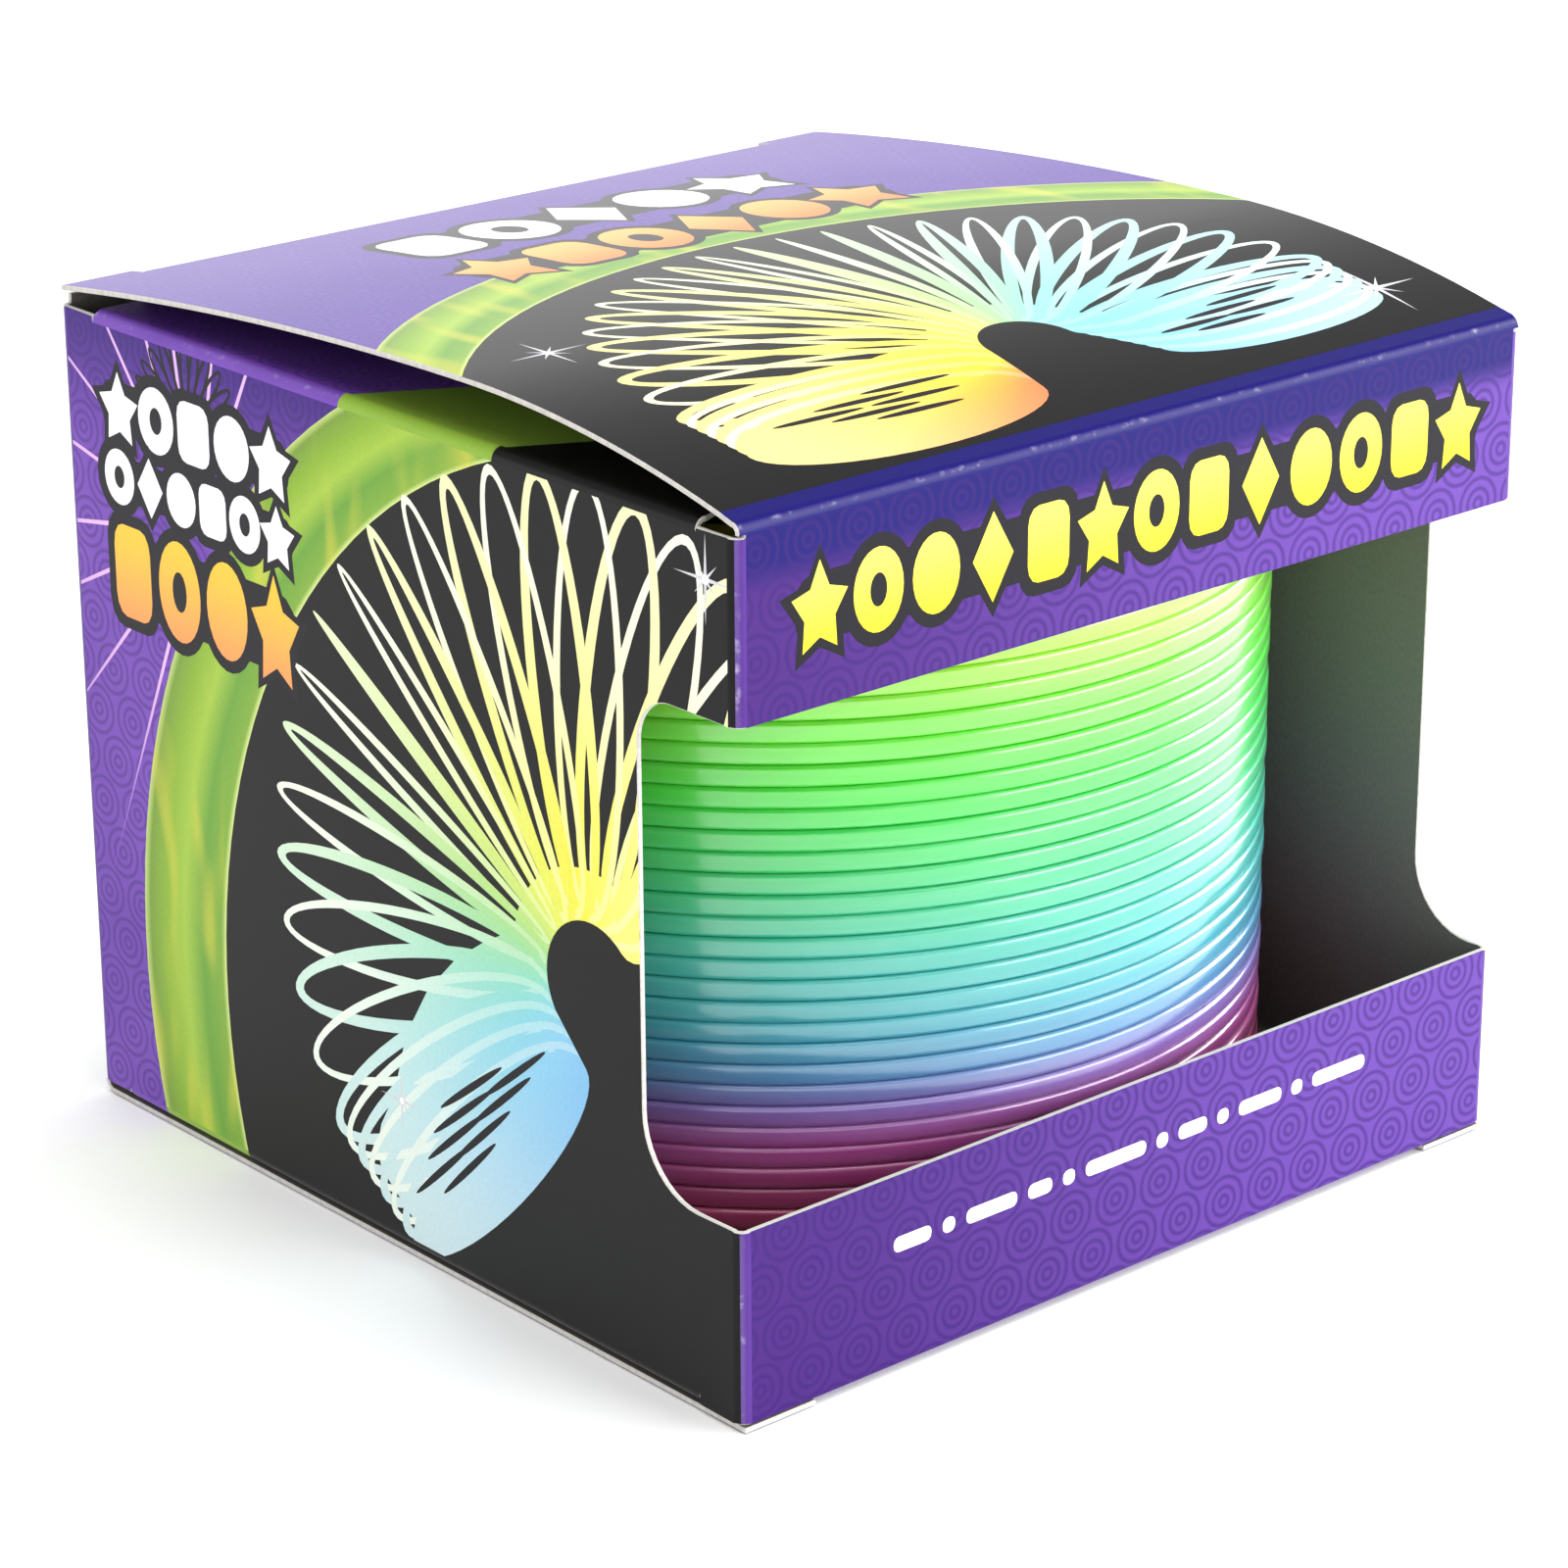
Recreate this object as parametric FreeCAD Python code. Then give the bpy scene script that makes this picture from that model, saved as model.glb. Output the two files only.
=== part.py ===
import FreeCAD, Part
import math
import os

# A rainbow spring coil toy in its printed window carton, in millimetres.
# The origin is the bottom centre of the carton, +Z is up, the front panel with
# the window faces -Y and +X is to the right seen from the front.
# The carton is a reverse tuck carton: the lid hinges on the front panel and
# tucks in behind the back panel, the bottom hinges on the back panel and tucks
# in behind the footer. Four dust flaps fold in from the two side panels.

V = FreeCAD.Vector

# Carton
WIDTH = 77.0                   # outside, along X
DEPTH = 78.5                   # outside, along Y
HEIGHT = 66.0                  # outside, along Z, at the front edge of the lid
BOARD = 0.4                    # thickness of the folding board
CREASE_RADIUS = 0.9            # outside radius of every folded corner
SLIP = 0.2                     # gap between two layers of board that slide past each other

# Window
FOOTER_TOP = 15.3
HEADER_BOTTOM = 51.8
LEFT_NOTCH = 10.3              # how far the window reaches round each side panel
RIGHT_NOTCH = 7.7
NOTCH_TOP_RADIUS = 3.5
NOTCH_BOTTOM_RADIUS = 5.75

# Lid and bottom closures
LID_SIDE_INSET = 0.3           # the lid and bottom are a little narrower than the box
LID_PEAK_RISE = 3.7            # how far the bowed lid stands above the front edge
LID_PEAK_Y = -10.0
LID_REAR_RISE = 0.5            # height of the lid's back edge above its front edge
EAR_WIDTH = 6.5                # the two slit ears beside each tuck flap
TUCK_DEPTH = 10.0
TUCK_LEAN = 0.8                # how far a tuck flap's free edge leans in to clear the wall
TUCK_CORNER = 6.0              # corner radius of a tuck flap

# Dust flaps
SIDE_TOP = HEIGHT - 0.55       # top face of the upper dust flaps
SIDE_BOTTOM = BOARD + SLIP     # lower face of the lower dust flaps
DUST_LENGTH = 30.0
DUST_HINGE_END = 4.0           # distance of a flap's root from the corner that the closure hinges on
DUST_TAPER = 0.4               # slope of the edge on the hinge side, so the flap clears the closure
DUST_FREE_END = 4.5            # distance of the straight edge from the other corner

# Glue flap inside the back panel
GLUE_WIDTH = 12.0
GLUE_SLOPE = 1.75              # rise over run of its slanting ends
BACK_EDGE_INSET = 0.35         # the raw right-hand edge of the back panel stops this short

# Spring coil
COIL_RADIUS = 37.2             # outside
RIBBON_WIDTH = 5.0             # radial
RIBBON_THICKNESS = 1.5         # vertical
RIBBON_CHAMFER = 0.35
TURN_PITCH = 1.62
COIL_BOTTOM = 1.2              # underside of the lowest turn, just above the dust flaps
BASE_TURNS = 11
MIDDLE_TURNS = 11
TOP_TURNS = 11                 # one more turn on each side of the middle group joins the groups

HALF_WIDTH = WIDTH / 2
HALF_DEPTH = DEPTH / 2
LID_HALF_WIDTH = HALF_WIDTH - LID_SIDE_INSET
TUCK_HALF_WIDTH = LID_HALF_WIDTH - EAR_WIDTH - SLIP
TUCK_FACE = HALF_DEPTH - BOARD - SLIP     # distance of a tuck crease's outer face from the middle
FRONT_BOTTOM = SIDE_BOTTOM                # raw lower edges of the footer and the corners beside it
REAR_BOTTOM = CREASE_RADIUS + SLIP        # raw lower edges beside the bottom's hinge crease
REAR_TOP = HEIGHT - 0.9                   # raw upper edges of the corners at the back
BACK_TOP = HEIGHT - SLIP                  # raw upper edge of the back panel, under the lid's ears


def polar(centre, radius, degrees):
    """A point on a circle, as an (a, b) pair."""
    angle = math.radians(degrees)
    return (centre[0] + radius * math.cos(angle), centre[1] + radius * math.sin(angle))


def across_x(point, x):
    return V(x, point[0], point[1])


def across_y(point, y):
    return V(point[0], y, point[1])


def across_z(point, z):
    return V(point[0], point[1], z)


def outline(steps, place, level):
    """A flat face from lines and three-point arcs.

    steps holds (a, b) corners, or ((a, b), (a, b)) for an arc's middle and end.
    """
    points = [step if not isinstance(step[0], tuple) else step[1] for step in steps]
    edges = []
    for index, step in enumerate(steps):
        start = place(points[index - 1], level)
        end = place(points[index], level)
        if isinstance(step[0], tuple):
            edges.append(Part.Arc(start, place(step[0], level), end).toShape())
        elif (end - start).Length > 1e-6:
            edges.append(Part.makeLine(start, end))
    return Part.Face(Part.Wire(Part.__sortEdges__(edges)))


def extrude_x(steps, x_from, x_to):
    return outline(steps, across_x, x_from).extrude(V(x_to - x_from, 0, 0))


def extrude_y(steps, y_from, y_to):
    return outline(steps, across_y, y_from).extrude(V(0, y_to - y_from, 0))


def extrude_z(steps, z_from, z_to):
    return outline(steps, across_z, z_from).extrude(V(0, 0, z_to - z_from))


def box(x_from, x_to, y_from, y_to, z_from, z_to):
    return Part.makeBox(x_to - x_from, y_to - y_from, z_to - z_from, V(x_from, y_from, z_from))


def bent_strip(centre, outer_radius, from_degrees, to_degrees):
    """The cross-section of board bent round a circle, as outline steps."""
    middle = (from_degrees + to_degrees) / 2
    inner_radius = outer_radius - BOARD
    return [
        polar(centre, outer_radius, from_degrees),
        (polar(centre, outer_radius, middle), polar(centre, outer_radius, to_degrees)),
        polar(centre, inner_radius, to_degrees),
        (polar(centre, inner_radius, middle), polar(centre, inner_radius, from_degrees)),
    ]


def save(name, shape):
    shape = shape.removeSplitter()
    if not shape.isValid():
        raise ValueError(name + " is not a valid solid")
    shape.exportStep("parts/" + name + ".step")


# ---------------------------------------------------------------- walls

def back_panel():
    return box(-HALF_WIDTH + CREASE_RADIUS, HALF_WIDTH - BACK_EDGE_INSET,
               HALF_DEPTH - BOARD, HALF_DEPTH, CREASE_RADIUS, BACK_TOP)


def front_panel(z_from, z_to):
    reach = HALF_WIDTH - CREASE_RADIUS
    return box(-reach, reach, -HALF_DEPTH, -HALF_DEPTH + BOARD, z_from, z_to)


def header_top():
    """Height at which the header ends and the lid's crease begins."""
    return lid_front_crease_centre()[1]


def front_corner_top():
    """Raw upper edges of the corners beside the lid's hinge crease."""
    return header_top() - SLIP


def notched_side(notch, y_back):
    """Side panel in the Y-Z plane: window notch in front, crease ledges above and below."""
    y_front = -HALF_DEPTH + CREASE_RADIUS
    y_notch = -HALF_DEPTH + notch
    top_radius = NOTCH_TOP_RADIUS
    low_radius = NOTCH_BOTTOM_RADIUS
    top_from = -HALF_DEPTH + DUST_HINGE_END
    top_to = HALF_DEPTH - DUST_FREE_END
    low_from = -HALF_DEPTH + DUST_FREE_END
    low_to = HALF_DEPTH - DUST_HINGE_END
    top_ledge = SIDE_TOP - CREASE_RADIUS
    low_ledge = SIDE_BOTTOM + CREASE_RADIUS
    return [
        (y_front, FRONT_BOTTOM),
        (low_from, FRONT_BOTTOM),
        (low_from, low_ledge),
        (low_to, low_ledge),
        (low_to, REAR_BOTTOM),
        (y_back, REAR_BOTTOM),
        (y_back, REAR_TOP),
        (top_to, REAR_TOP),
        (top_to, top_ledge),
        (top_from, top_ledge),
        (top_from, front_corner_top()),
        (y_front, front_corner_top()),
        (y_front, HEADER_BOTTOM),
        (y_notch - top_radius, HEADER_BOTTOM),
        (polar((y_notch - top_radius, HEADER_BOTTOM - top_radius), top_radius, 45),
         (y_notch, HEADER_BOTTOM - top_radius)),
        (y_notch, FOOTER_TOP + low_radius),
        (polar((y_notch - low_radius, FOOTER_TOP + low_radius), low_radius, -45),
         (y_notch - low_radius, FOOTER_TOP)),
        (y_front, FOOTER_TOP),
    ]


def left_panel():
    steps = notched_side(LEFT_NOTCH, HALF_DEPTH - CREASE_RADIUS)
    return extrude_x(steps, -HALF_WIDTH, -HALF_WIDTH + BOARD)


def right_panel():
    steps = notched_side(RIGHT_NOTCH, glue_crease_centre()[1])
    return extrude_x(steps, HALF_WIDTH - BOARD, HALF_WIDTH)


def glue_crease_centre():
    return (HALF_WIDTH - CREASE_RADIUS, HALF_DEPTH - BOARD - CREASE_RADIUS)


def glue_flap():
    """Flap from the right panel with slanting ends, glued to the inner face of the back panel."""
    x_root = glue_crease_centre()[0]
    x_end = x_root - GLUE_WIDTH
    rise = GLUE_WIDTH * GLUE_SLOPE
    y_outer = HALF_DEPTH - BOARD
    corners = [
        (x_root, REAR_BOTTOM),
        (x_root, REAR_TOP),
        (x_end, REAR_TOP - rise),
        (x_end, REAR_BOTTOM + rise),
    ]
    return extrude_y(corners, y_outer - BOARD, y_outer)


def upright_crease(x_sign, y_sign, z_spans):
    """A vertical corner of the box, one length for each (from, to) pair of heights."""
    centre = (x_sign * (HALF_WIDTH - CREASE_RADIUS), y_sign * (HALF_DEPTH - CREASE_RADIUS))
    start = {(-1, -1): 180, (1, -1): 270, (1, 1): 0, (-1, 1): 90}[(x_sign, y_sign)]
    steps = bent_strip(centre, CREASE_RADIUS, start, start + 90)
    lengths = [extrude_z(steps, z_from, z_to) for z_from, z_to in z_spans]
    return lengths[0] if len(lengths) == 1 else Part.makeCompound(lengths)


def back_right_crease():
    steps = bent_strip(glue_crease_centre(), CREASE_RADIUS, 0, 90)
    return extrude_z(steps, REAR_BOTTOM, REAR_TOP)


# ---------------------------------------------------------------- lid

def bow_circle(run, rise):
    """Radius of the arc that drops by rise over a run from its highest point."""
    return (run * run + rise * rise) / (2 * rise)


def lid_arcs():
    """Centres and outside radii of the lid's front and rear arcs, both level at the peak."""
    peak = HEIGHT + LID_PEAK_RISE
    front_radius = bow_circle(LID_PEAK_Y + HALF_DEPTH - CREASE_RADIUS, LID_PEAK_RISE)
    rear_radius = bow_circle(HALF_DEPTH - LID_PEAK_Y, LID_PEAK_RISE - LID_REAR_RISE)
    return ((LID_PEAK_Y, peak - front_radius), front_radius,
            (LID_PEAK_Y, peak - rear_radius), rear_radius)


def lid_front_angle():
    """Direction, in degrees, of the lid's normal where the front crease ends."""
    _, radius, _, _ = lid_arcs()
    run = LID_PEAK_Y - (-HALF_DEPTH + CREASE_RADIUS)
    return 90 + math.degrees(math.asin(run / (radius - CREASE_RADIUS)))


def lid_front_crease_centre():
    centre, radius, _, _ = lid_arcs()
    return polar(centre, radius - CREASE_RADIUS, lid_front_angle())


def lid_rear_angle(y_outer):
    """Direction of the lid's normal where a crease with its outer face at y_outer begins."""
    _, _, centre, radius = lid_arcs()
    return math.degrees(math.acos((y_outer - CREASE_RADIUS - centre[0]) / (radius - CREASE_RADIUS)))


def lid_tuck_crease_centre():
    _, _, centre, radius = lid_arcs()
    return polar(centre, radius - CREASE_RADIUS, lid_rear_angle(TUCK_FACE))


def lid_section(rear_angle):
    """Cross-section of the bowed lid from its front crease to a given direction."""
    front, front_radius, rear, rear_radius = lid_arcs()
    start = lid_front_angle()
    return [
        polar(front, front_radius, start),
        (polar(front, front_radius, (start + 90) / 2), polar(front, front_radius, 90)),
        (polar(rear, rear_radius, (90 + rear_angle) / 2), polar(rear, rear_radius, rear_angle)),
        polar(rear, rear_radius - BOARD, rear_angle),
        (polar(rear, rear_radius - BOARD, (90 + rear_angle) / 2),
         polar(rear, rear_radius - BOARD, 90)),
        (polar(front, front_radius - BOARD, (start + 90) / 2),
         polar(front, front_radius - BOARD, start)),
    ]


def lid_panel():
    """The bowed lid, with the two slit ears that rest on the back panel."""
    _, _, rear, rear_radius = lid_arcs()
    ear_angle = math.degrees(math.acos((HALF_DEPTH - rear[0]) / rear_radius))
    lid = extrude_x(lid_section(lid_rear_angle(TUCK_FACE)), -LID_HALF_WIDTH, LID_HALF_WIDTH)
    for x_from in (-LID_HALF_WIDTH, LID_HALF_WIDTH - EAR_WIDTH):
        lid = lid.fuse(extrude_x(lid_section(ear_angle), x_from, x_from + EAR_WIDTH))
    return lid


def lid_crease():
    steps = bent_strip(lid_front_crease_centre(), CREASE_RADIUS, 180, lid_front_angle())
    return extrude_x(steps, -LID_HALF_WIDTH, LID_HALF_WIDTH)


def lid_tuck_crease():
    steps = bent_strip(lid_tuck_crease_centre(), CREASE_RADIUS, lid_rear_angle(TUCK_FACE), 0)
    return extrude_x(steps, -TUCK_HALF_WIDTH, TUCK_HALF_WIDTH)


def tuck_plate(y_outer, z_root, z_end):
    """A tuck flap: it leans towards the coil, and its free corners are rounded."""
    inward = -1 if y_outer > 0 else 1
    up = 1 if z_end > z_root else -1
    steps = [
        (y_outer, z_root),
        (y_outer + inward * TUCK_LEAN, z_end),
        (y_outer + inward * (TUCK_LEAN + BOARD), z_end),
        (y_outer + inward * BOARD, z_root),
    ]
    plate = extrude_x(steps, -TUCK_HALF_WIDTH, TUCK_HALF_WIDTH)
    y_low, y_high = sorted((y_outer, y_outer + inward * (TUCK_LEAN + BOARD)))
    for side in (-1, 1):
        x_edge = side * TUCK_HALF_WIDTH
        x_centre = side * (TUCK_HALF_WIDTH - TUCK_CORNER)
        z_centre = z_end - up * TUCK_CORNER
        reach = TUCK_CORNER * math.sqrt(0.5)
        corner = [
            (x_edge, z_centre),
            ((x_centre + side * reach, z_centre + up * reach), (x_centre, z_end)),
            (x_centre, z_end + up),
            (x_edge + side, z_end + up),
            (x_edge + side, z_centre),
        ]
        plate = plate.cut(extrude_y(corner, y_low - 1, y_high + 1))
    return plate


def lid_tuck_flap():
    z_root = lid_tuck_crease_centre()[1]
    return tuck_plate(TUCK_FACE, z_root, HEIGHT - TUCK_DEPTH)


# ---------------------------------------------------------------- bottom

def bottom_panel():
    """The flat bottom, with two slit ears under the footer."""
    y_front = -TUCK_FACE + CREASE_RADIUS
    panel = box(-LID_HALF_WIDTH, LID_HALF_WIDTH, y_front, HALF_DEPTH - CREASE_RADIUS, 0, BOARD)
    for x_from in (-LID_HALF_WIDTH, LID_HALF_WIDTH - EAR_WIDTH):
        panel = panel.fuse(box(x_from, x_from + EAR_WIDTH, -HALF_DEPTH, y_front, 0, BOARD))
    return panel


def bottom_crease():
    centre = (HALF_DEPTH - CREASE_RADIUS, CREASE_RADIUS)
    return extrude_x(bent_strip(centre, CREASE_RADIUS, 270, 360), -LID_HALF_WIDTH, LID_HALF_WIDTH)


def bottom_tuck_crease():
    centre = (-TUCK_FACE + CREASE_RADIUS, CREASE_RADIUS)
    return extrude_x(bent_strip(centre, CREASE_RADIUS, 180, 270), -TUCK_HALF_WIDTH, TUCK_HALF_WIDTH)


def bottom_tuck_flap():
    return tuck_plate(-TUCK_FACE, CREASE_RADIUS, TUCK_DEPTH)


# ---------------------------------------------------------------- dust flaps

def dust_plan(side, hinge_end):
    """Plan of a dust flap. hinge_end is -1 or 1, the end at which the closure hinges."""
    x_root = side * (HALF_WIDTH - CREASE_RADIUS)
    x_end = side * (HALF_WIDTH - DUST_LENGTH)
    y_root = hinge_end * (HALF_DEPTH - DUST_HINGE_END)
    y_end = hinge_end * (HALF_DEPTH - DUST_HINGE_END - DUST_TAPER * DUST_LENGTH)
    y_free = -hinge_end * (HALF_DEPTH - DUST_FREE_END)
    corner = 3.0
    return [
        (x_root, y_root),
        (x_end, y_end),
        (x_end, y_free + hinge_end * corner),
        (x_end + side * corner, y_free),
        (x_root, y_free),
    ]


def top_dust_flap(side):
    return extrude_z(dust_plan(side, -1), SIDE_TOP - BOARD, SIDE_TOP)


def bottom_dust_flap(side):
    return extrude_z(dust_plan(side, 1), SIDE_BOTTOM, SIDE_BOTTOM + BOARD)


def top_dust_crease(side):
    centre = (side * (HALF_WIDTH - CREASE_RADIUS), SIDE_TOP - CREASE_RADIUS)
    start = 0 if side > 0 else 90
    steps = bent_strip(centre, CREASE_RADIUS, start, start + 90)
    return extrude_y(steps, -HALF_DEPTH + DUST_HINGE_END, HALF_DEPTH - DUST_FREE_END)


def bottom_dust_crease(side):
    centre = (side * (HALF_WIDTH - CREASE_RADIUS), SIDE_BOTTOM + CREASE_RADIUS)
    start = 270 if side > 0 else 180
    steps = bent_strip(centre, CREASE_RADIUS, start, start + 90)
    return extrude_y(steps, -HALF_DEPTH + DUST_FREE_END, HALF_DEPTH - DUST_HINGE_END)


# ---------------------------------------------------------------- coil

def ribbon_section():
    """Cross-section of the ribbon at the start of the coil, its lower face at Z = 0."""
    x_out = COIL_RADIUS
    x_in = COIL_RADIUS - RIBBON_WIDTH
    c = RIBBON_CHAMFER
    t = RIBBON_THICKNESS
    corners = [
        (x_in + c, 0), (x_out - c, 0), (x_out, c), (x_out, t - c),
        (x_out - c, t), (x_in + c, t), (x_in, t - c), (x_in, c),
    ]
    points = [V(x, 0, z) for x, z in corners + corners[:1]]
    return Part.makePolygon(points)


def coil_turns(first_turn, count):
    """Whole turns of the ribbon, counted from the bottom of the coil."""
    path = Part.makeHelix(TURN_PITCH, TURN_PITCH * count, COIL_RADIUS - RIBBON_WIDTH / 2)
    ribbon = Part.Wire(path.Edges).makePipeShell([ribbon_section()], True, True)
    ribbon.translate(V(0, 0, COIL_BOTTOM + first_turn * TURN_PITCH))
    return ribbon


def save_coil():
    groups = [
        ("coil_base_turns", BASE_TURNS),
        ("coil_lower_transition", 1),
        ("coil_middle_turns", MIDDLE_TURNS),
        ("coil_upper_transition", 1),
        ("coil_top_turns", TOP_TURNS),
    ]
    first_turn = 0
    for name, count in groups:
        save(name, coil_turns(first_turn, count))
        first_turn += count


def save_carton():
    front_spans = [(FRONT_BOTTOM, FOOTER_TOP), (HEADER_BOTTOM, front_corner_top())]
    save("back_panel", back_panel())
    save("left_panel", left_panel())
    save("right_panel", right_panel())
    save("front_header", front_panel(HEADER_BOTTOM, header_top()))
    save("front_footer", front_panel(FRONT_BOTTOM, FOOTER_TOP))
    save("glue_flap", glue_flap())
    save("front_left_crease", upright_crease(-1, -1, front_spans))
    save("front_right_crease", upright_crease(1, -1, front_spans))
    save("back_left_crease", upright_crease(-1, 1, [(REAR_BOTTOM, REAR_TOP)]))
    save("back_right_crease", back_right_crease())
    save("lid_panel", lid_panel())
    save("lid_crease", lid_crease())
    save("lid_tuck_crease", lid_tuck_crease())
    save("lid_tuck_flap", lid_tuck_flap())
    save("bottom_panel", bottom_panel())
    save("bottom_crease", bottom_crease())
    save("bottom_tuck_crease", bottom_tuck_crease())
    save("bottom_tuck_flap", bottom_tuck_flap())
    for side, word in ((-1, "left"), (1, "right")):
        save("top_dust_flap_" + word, top_dust_flap(side))
        save("top_dust_crease_" + word, top_dust_crease(side))
        save("bottom_dust_flap_" + word, bottom_dust_flap(side))
        save("bottom_dust_crease_" + word, bottom_dust_crease(side))


os.makedirs("parts", exist_ok=True)
save_carton()
save_coil()
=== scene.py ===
import math

import bpy
from mathutils import Matrix, Vector
from mathutils.geometry import delaunay_2d_cdt


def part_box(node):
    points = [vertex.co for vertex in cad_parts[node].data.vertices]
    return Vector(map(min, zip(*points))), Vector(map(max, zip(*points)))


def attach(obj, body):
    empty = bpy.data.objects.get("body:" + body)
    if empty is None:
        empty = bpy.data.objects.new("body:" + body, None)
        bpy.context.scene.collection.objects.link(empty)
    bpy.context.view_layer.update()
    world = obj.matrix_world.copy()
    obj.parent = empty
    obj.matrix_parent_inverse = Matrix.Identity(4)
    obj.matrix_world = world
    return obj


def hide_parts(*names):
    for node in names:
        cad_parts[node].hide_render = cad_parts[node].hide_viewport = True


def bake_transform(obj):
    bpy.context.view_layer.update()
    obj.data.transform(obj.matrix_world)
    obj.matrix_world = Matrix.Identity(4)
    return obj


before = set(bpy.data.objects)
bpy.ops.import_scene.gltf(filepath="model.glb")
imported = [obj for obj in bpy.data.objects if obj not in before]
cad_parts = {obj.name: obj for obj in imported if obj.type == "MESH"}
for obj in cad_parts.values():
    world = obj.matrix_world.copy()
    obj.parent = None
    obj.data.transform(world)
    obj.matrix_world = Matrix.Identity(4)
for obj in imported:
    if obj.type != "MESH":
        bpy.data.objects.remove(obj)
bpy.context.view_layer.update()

# A rainbow spring coil in its printed window carton. Lengths in the drawing code are
# millimetres; MM turns them into metres. On every panel u runs to the right and v runs
# up as that panel is seen from outside, and depth runs into the board.

MM = 0.001

# ---- sizes from the frame


def span(node, axis):
    """Lowest and highest place of a CAD node along an axis, in millimetres."""
    low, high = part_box(node)
    return low[axis] / MM, high[axis] / MM


X, Y, Z = 0, 1, 2
LEFT = span("left_panel", X)[0]
RIGHT = span("right_panel", X)[1]
FRONT = span("front_footer", Y)[0]
BACK = span("back_panel", Y)[1]
BOARD = span("front_footer", Y)[1] - FRONT
CREASE = span("front_left_crease", X)[1] - LEFT       # outside radius of a folded corner
HEADER_BOTTOM, HEADER_TOP = span("front_header", Z)
FOOTER_BOTTOM, FOOTER_TOP = span("front_footer", Z)
SIDE_TOP = span("top_dust_flap_left", Z)[1]
SIDE_BOTTOM = span("bottom_dust_flap_left", Z)[0]
DUST_END_X = span("top_dust_flap_left", X)[1]
TOP_DUST_Y = span("top_dust_flap_left", Y)
BOTTOM_DUST_Y = span("bottom_dust_flap_left", Y)
CORNER_TOP = span("front_left_crease", Z)[1]
REAR_BOTTOM, REAR_TOP = span("back_left_crease", Z)
BACK_TOP = span("back_panel", Z)[1]
BACK_RIGHT = span("back_panel", X)[1]
GLUE_FACE = span("glue_flap", Y)[1]
LID_EDGE = span("lid_panel", X)[1]
LID_FRONT = span("lid_panel", Y)[0]
TUCK_EDGE = span("lid_tuck_flap", X)[1]
TUCK_FACE = span("lid_tuck_crease", Y)[1]
LID_TUCK_END = span("lid_tuck_flap", Z)[0]
TUCK_ROOT = span("lid_tuck_flap", Z)[1]
BOTTOM_TUCK_END = span("bottom_tuck_flap", Z)[1]
COIL_BOTTOM = span("coil_base_turns", Z)[0]
COIL_TOP = span("coil_top_turns", Z)[1]
COIL_RADIUS = span("coil_base_turns", X)[1]

# Shapes that a box can't give, as in the part's own design
EAR_WIDTH = 6.5
TUCK_LEAN = 0.8
TUCK_CORNER = 6.0
LEFT_NOTCH = 10.3
RIGHT_NOTCH = 7.7
NOTCH_TOP_RADIUS = 3.5
NOTCH_BOTTOM_RADIUS = 5.75
LID_HEIGHT = 66.0
LID_PEAK_RISE = 3.7
LID_PEAK_Y = -10.0
LID_REAR_RISE = 0.5
DUST_TAPER = 0.4
GLUE_SLOPE = 1.75
TURN_PITCH = 1.62
TURNS = 35
RIBBON_WIDTH = 5.0
RIBBON_THICKNESS = 1.58
RIBBON_ROUND = 0.36

CUT_BEVEL = 0.07          # worn bevel along a raw cut edge
DUST_CORNER = 3.0         # chamfer on a dust flap's free corner
FOLD_STEPS = 8            # strips round a crease
UPRIGHT_GRID = 0.7        # spacing of the points along a crease, which carry its wear
BENDING_GRID = 0.9
LID_ROWS = 44
ARC_STEP = 9              # degrees between points on a drawn arc
UV_SPAN = 100.0           # millimetres to one UV unit


# ---- node helpers

def linear(red, green, blue):
    """A colour given as 0-255 display values, as the linear values that shaders take."""
    def one(value):
        value = value / 255
        return value / 12.92 if value <= 0.04045 else ((value + 0.055) / 1.055) ** 2.4
    return (one(red), one(green), one(blue), 1.0)


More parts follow.
